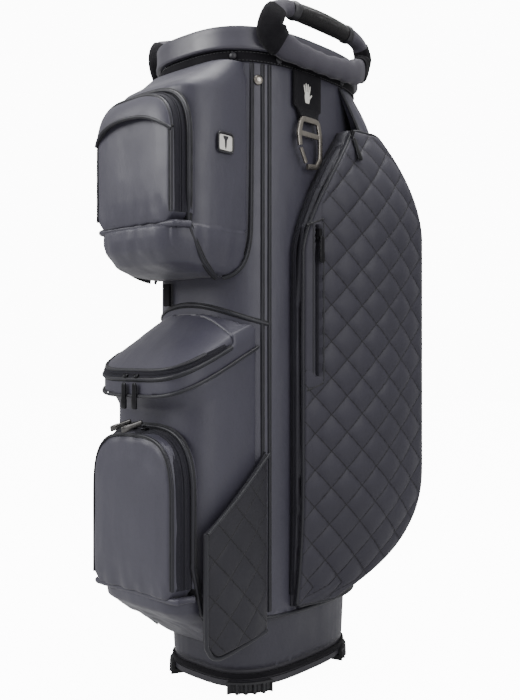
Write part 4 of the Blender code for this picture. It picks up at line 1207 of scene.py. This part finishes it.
def sleeve():
    """The quilted sleeve: a puffed outer sheet over the CAD sleeve's outline."""
    low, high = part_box("sleeve_right")
    y_low, y_high = low.y - SHIFT.y, high.y - SHIFT.y
    y = np.linspace(y_low, y_high, 60)
    top = 0.225 + (0.314 - 0.225) * (y + 0.204) / 0.11
    foot = 0.074 + 0.12 * (y - y_low) + 0.022 * np.clip(1 - (y - y_low) / 0.022, 0, 1) ** 2
    yy = np.tile(y, (110, 1))
    zz = foot + (top - foot) * np.linspace(0, 1, 110)[:, None]
    xx = high.x - 0.006 * np.abs(2 * (yy - y_low) / (y_high - y_low) - 1) ** 3
    edge = np.minimum(np.minimum(yy - y_low, y_high - yy), np.minimum(zz - foot, top - zz))
    hem = np.clip((top - zz - 0.012) / 0.004, 0, 1)
    puff = quilt_puff(yy, zz, 0.0024) * np.clip((edge - 0.002) / 0.008, 0, 1) * hem
    outer = np.stack([xx + puff - edge_inset(edge, 0.004), yy, zz], -1)
    points, faces = closed_sheet(outer, np.stack([xx - 0.006, yy, zz], -1))
    flat = np.stack([yy, zz], -1).reshape(-1, 2)
    piece("sleeve_quilt", points, faces, "bag", "sleeve", ("sleeve_right",), np.vstack([flat, flat]))
    rim = curve([(high.x - 0.0035, y_high, 0.312), (high.x - 0.0005, (y_low + y_high) / 2, 0.2685),
                 (high.x - 0.0045, y_low + 0.001, 0.226)], 0.003)
    plain_sweep("sleeve_hem", rim, X_AXIS, 0.0022, "bag")
    route = curve([(high.x - 0.006, y_low - 0.0005, 0.226), (high.x - 0.006, y_low - 0.0005, 0.11),
                   (high.x - 0.007, y_low + 0.004, 0.086), (high.x - 0.006, y_low + 0.02, 0.074),
                   (high.x - 0.004, y_low + 0.06, 0.079), (high.x - 0.005, y_high - 0.004, 0.087)], 0.003)
    plain_sweep("sleeve_piping", route, outward(route), 0.003, "bag")


sleeve()


def pull_skin(node, skin, lean=0.0, drop=0.0):
    """A zip pull with rounded edges, leant forward about its ring end by lean degrees."""
    bm = bmesh.new()
    bm.from_mesh(NODES[node].data)
    ring = max((v.co for v in bm.verts), key=lambda co: co.y).copy()
    bmesh.ops.rotate(bm, verts=bm.verts, cent=ring, matrix=Matrix.Rotation(math.radians(lean), 3, "X"))
    bmesh.ops.translate(bm, verts=bm.verts, vec=(0.0, 0.0, -drop))
    bmesh.ops.remove_doubles(bm, verts=bm.verts, dist=0.00002)
    bmesh.ops.bevel(bm, geom=[e for e in bm.edges if e.calc_face_angle(0) > 0.5], offset=0.0006,
                    segments=2, profile=0.5, affect="EDGES", clamp_overlap=True)
    mesh = bpy.data.meshes.new(node + "_tab")
    bm.to_mesh(mesh)
    bm.free()
    dress(node + "_tab", mesh, node, skin, node)


for node in ("cooler_pull_1", "cooler_pull_2"):
    pull_skin(node, "black_metal")
for node in ("ball_pull_1", "ball_pull_2"):
    pull_skin(node, "gunmetal", 13.0, 0.0028)
for node in ("valuables_pull", "side_pull_right", "side_pull_left"):
    pull_skin(node, "black_metal")


def slider(name, where, along, out, body, size=0.0042):
    """A zip slider: a waisted shell with a bridge over it."""
    where, along, out = np.array(where), unit(np.array(along)), unit(np.array(out))
    t = np.linspace(-1, 1, 9)
    shell = sweep_mesh(where + along * t[:, None] * size, out, oval_profile(1.0, 1.0, 14, 4.0),
                       np.column_stack([0.0034 - 0.0009 * (1 - t ** 2), 0.0017 * (1 - 0.25 * t ** 8)]))
    arc = math.pi * np.linspace(0, 1, 12)[:, None]
    loop = where + along * np.cos(arc) * 0.003 + out * (0.0012 + np.sin(arc) * 0.0026)
    bridge = sweep_mesh(loop, np.cross(along, out), oval_profile(0.0006, 0.0012, 8))
    points, faces, flat = joined([shell, bridge])
    piece(name, points, faces, body, "black_metal", flat=flat)


for number, x in enumerate((-0.012, 0.01), 1):
    slider(f"ball_slider_{number}", (x, -0.2235, float(BALL.top(x)) + 0.0012), X_AXIS, UP, "ball_door")
for number, x in enumerate((-0.01, 0.01), 1):
    slider(f"cooler_slider_{number}", (x, COOLER_FACE - 0.001, 0.412), X_AXIS, FORWARD, "cooler_lid",
           0.0038)
for word, side in SIDES:
    slider(f"side_slider_{word}", (side * 0.1385, 0.033, 0.7385), (0.0, 0.2, -1.0),
           (side * 1.0, 0.0, 0.36), f"side_door_{word}")
dress("pocket_loop", soft_copy("pocket_tag", 0.0006, 4), "bag", "webbing", "pocket_tag")
box_flat(bpy.data.objects["pocket_loop"])


# --- floor, lights and camera ---------------------------------------------------------------------


def seen_white(tree, strength, unseen):
    """Drives a strength so that only the camera sees the full white."""
    rays, glow = tree.nodes.new("ShaderNodeLightPath"), tree.nodes.new("ShaderNodeMapRange")
    glow.inputs[3].default_value, glow.inputs[4].default_value = unseen, 12.0
    tree.links.new(rays.outputs["Is Camera Ray"], glow.inputs[0])
    tree.links.new(glow.outputs[0], strength)


def stage():
    paint = Shade("floor_paint", (0.5, 0.5, 0.5), 0.6)
    paint.tint(paint.noise(3.0), (0.48, 0.48, 0.485)).relief(paint.noise(300.0), 0.0002, 0.2)
    paint.shader.inputs["Emission Color"].default_value = (1.0, 1.0, 1.0, 1.0)
    seen_white(paint.tree, paint.shader.inputs["Emission Strength"], 0.1)
    mesh = bpy.data.meshes.new("floor")
    mesh.from_pydata([(-6.0, -6.0, 0.0), (6.0, -6.0, 0.0), (6.0, 6.0, 0.0), (-6.0, 6.0, 0.0)], [],
                     [(0, 1, 2, 3)])
    mesh.materials.append(paint.material)
    floor = bpy.data.objects.new("floor", mesh)
    floor.location.z = -0.0005
    bpy.context.scene.collection.objects.link(floor)
    world = bpy.data.worlds.new("studio")
    world.use_nodes = True
    background = world.node_tree.nodes["Background"]
    background.inputs[0].default_value = (1.0, 1.0, 1.0, 1.0)
    seen_white(world.node_tree, background.inputs[1], 0.56)
    bpy.context.scene.world = world


def lamp(name, place_at, target_z, size, power):
    light = bpy.data.lights.new(name, "AREA")
    light.shape = "RECTANGLE"
    light.size, light.size_y = size
    light.energy = power
    made = bpy.data.objects.new(name, light)
    made.location = place_at
    made.rotation_mode = "QUATERNION"
    made.rotation_quaternion = (Vector((0.0, 0.0, target_z)) - Vector(place_at)).to_track_quat("-Z", "Y")
    bpy.context.scene.collection.objects.link(made)


def camera():
    """Level, at 42 degrees round from the front, as the object was photographed."""
    azimuth, away, height = math.radians(42.0), 1.24, 0.4446
    data = bpy.data.cameras.new("view")
    data.lens = 44.43
    made = bpy.data.objects.new("view", data)
    back = Vector((math.sin(azimuth), -math.cos(azimuth), 0.0))
    made.location = back * away + SHIFT + Vector((0, 0, height))
    made.rotation_mode = "QUATERNION"
    made.rotation_quaternion = (-back).to_track_quat("-Z", "Y")
    bpy.context.scene.collection.objects.link(made)
    bpy.context.scene.camera = made


stage()
lamp("key", (-0.9, -2.0, 1.7), 0.45, (1.4, 1.4), 70.0)
lamp("side", (2.2, -0.2, 1.2), 0.45, (1.2, 1.6), 30.0)
lamp("top", (0.2, 0.2, 2.4), 0.5, (1.6, 1.6), 68.0)
camera()
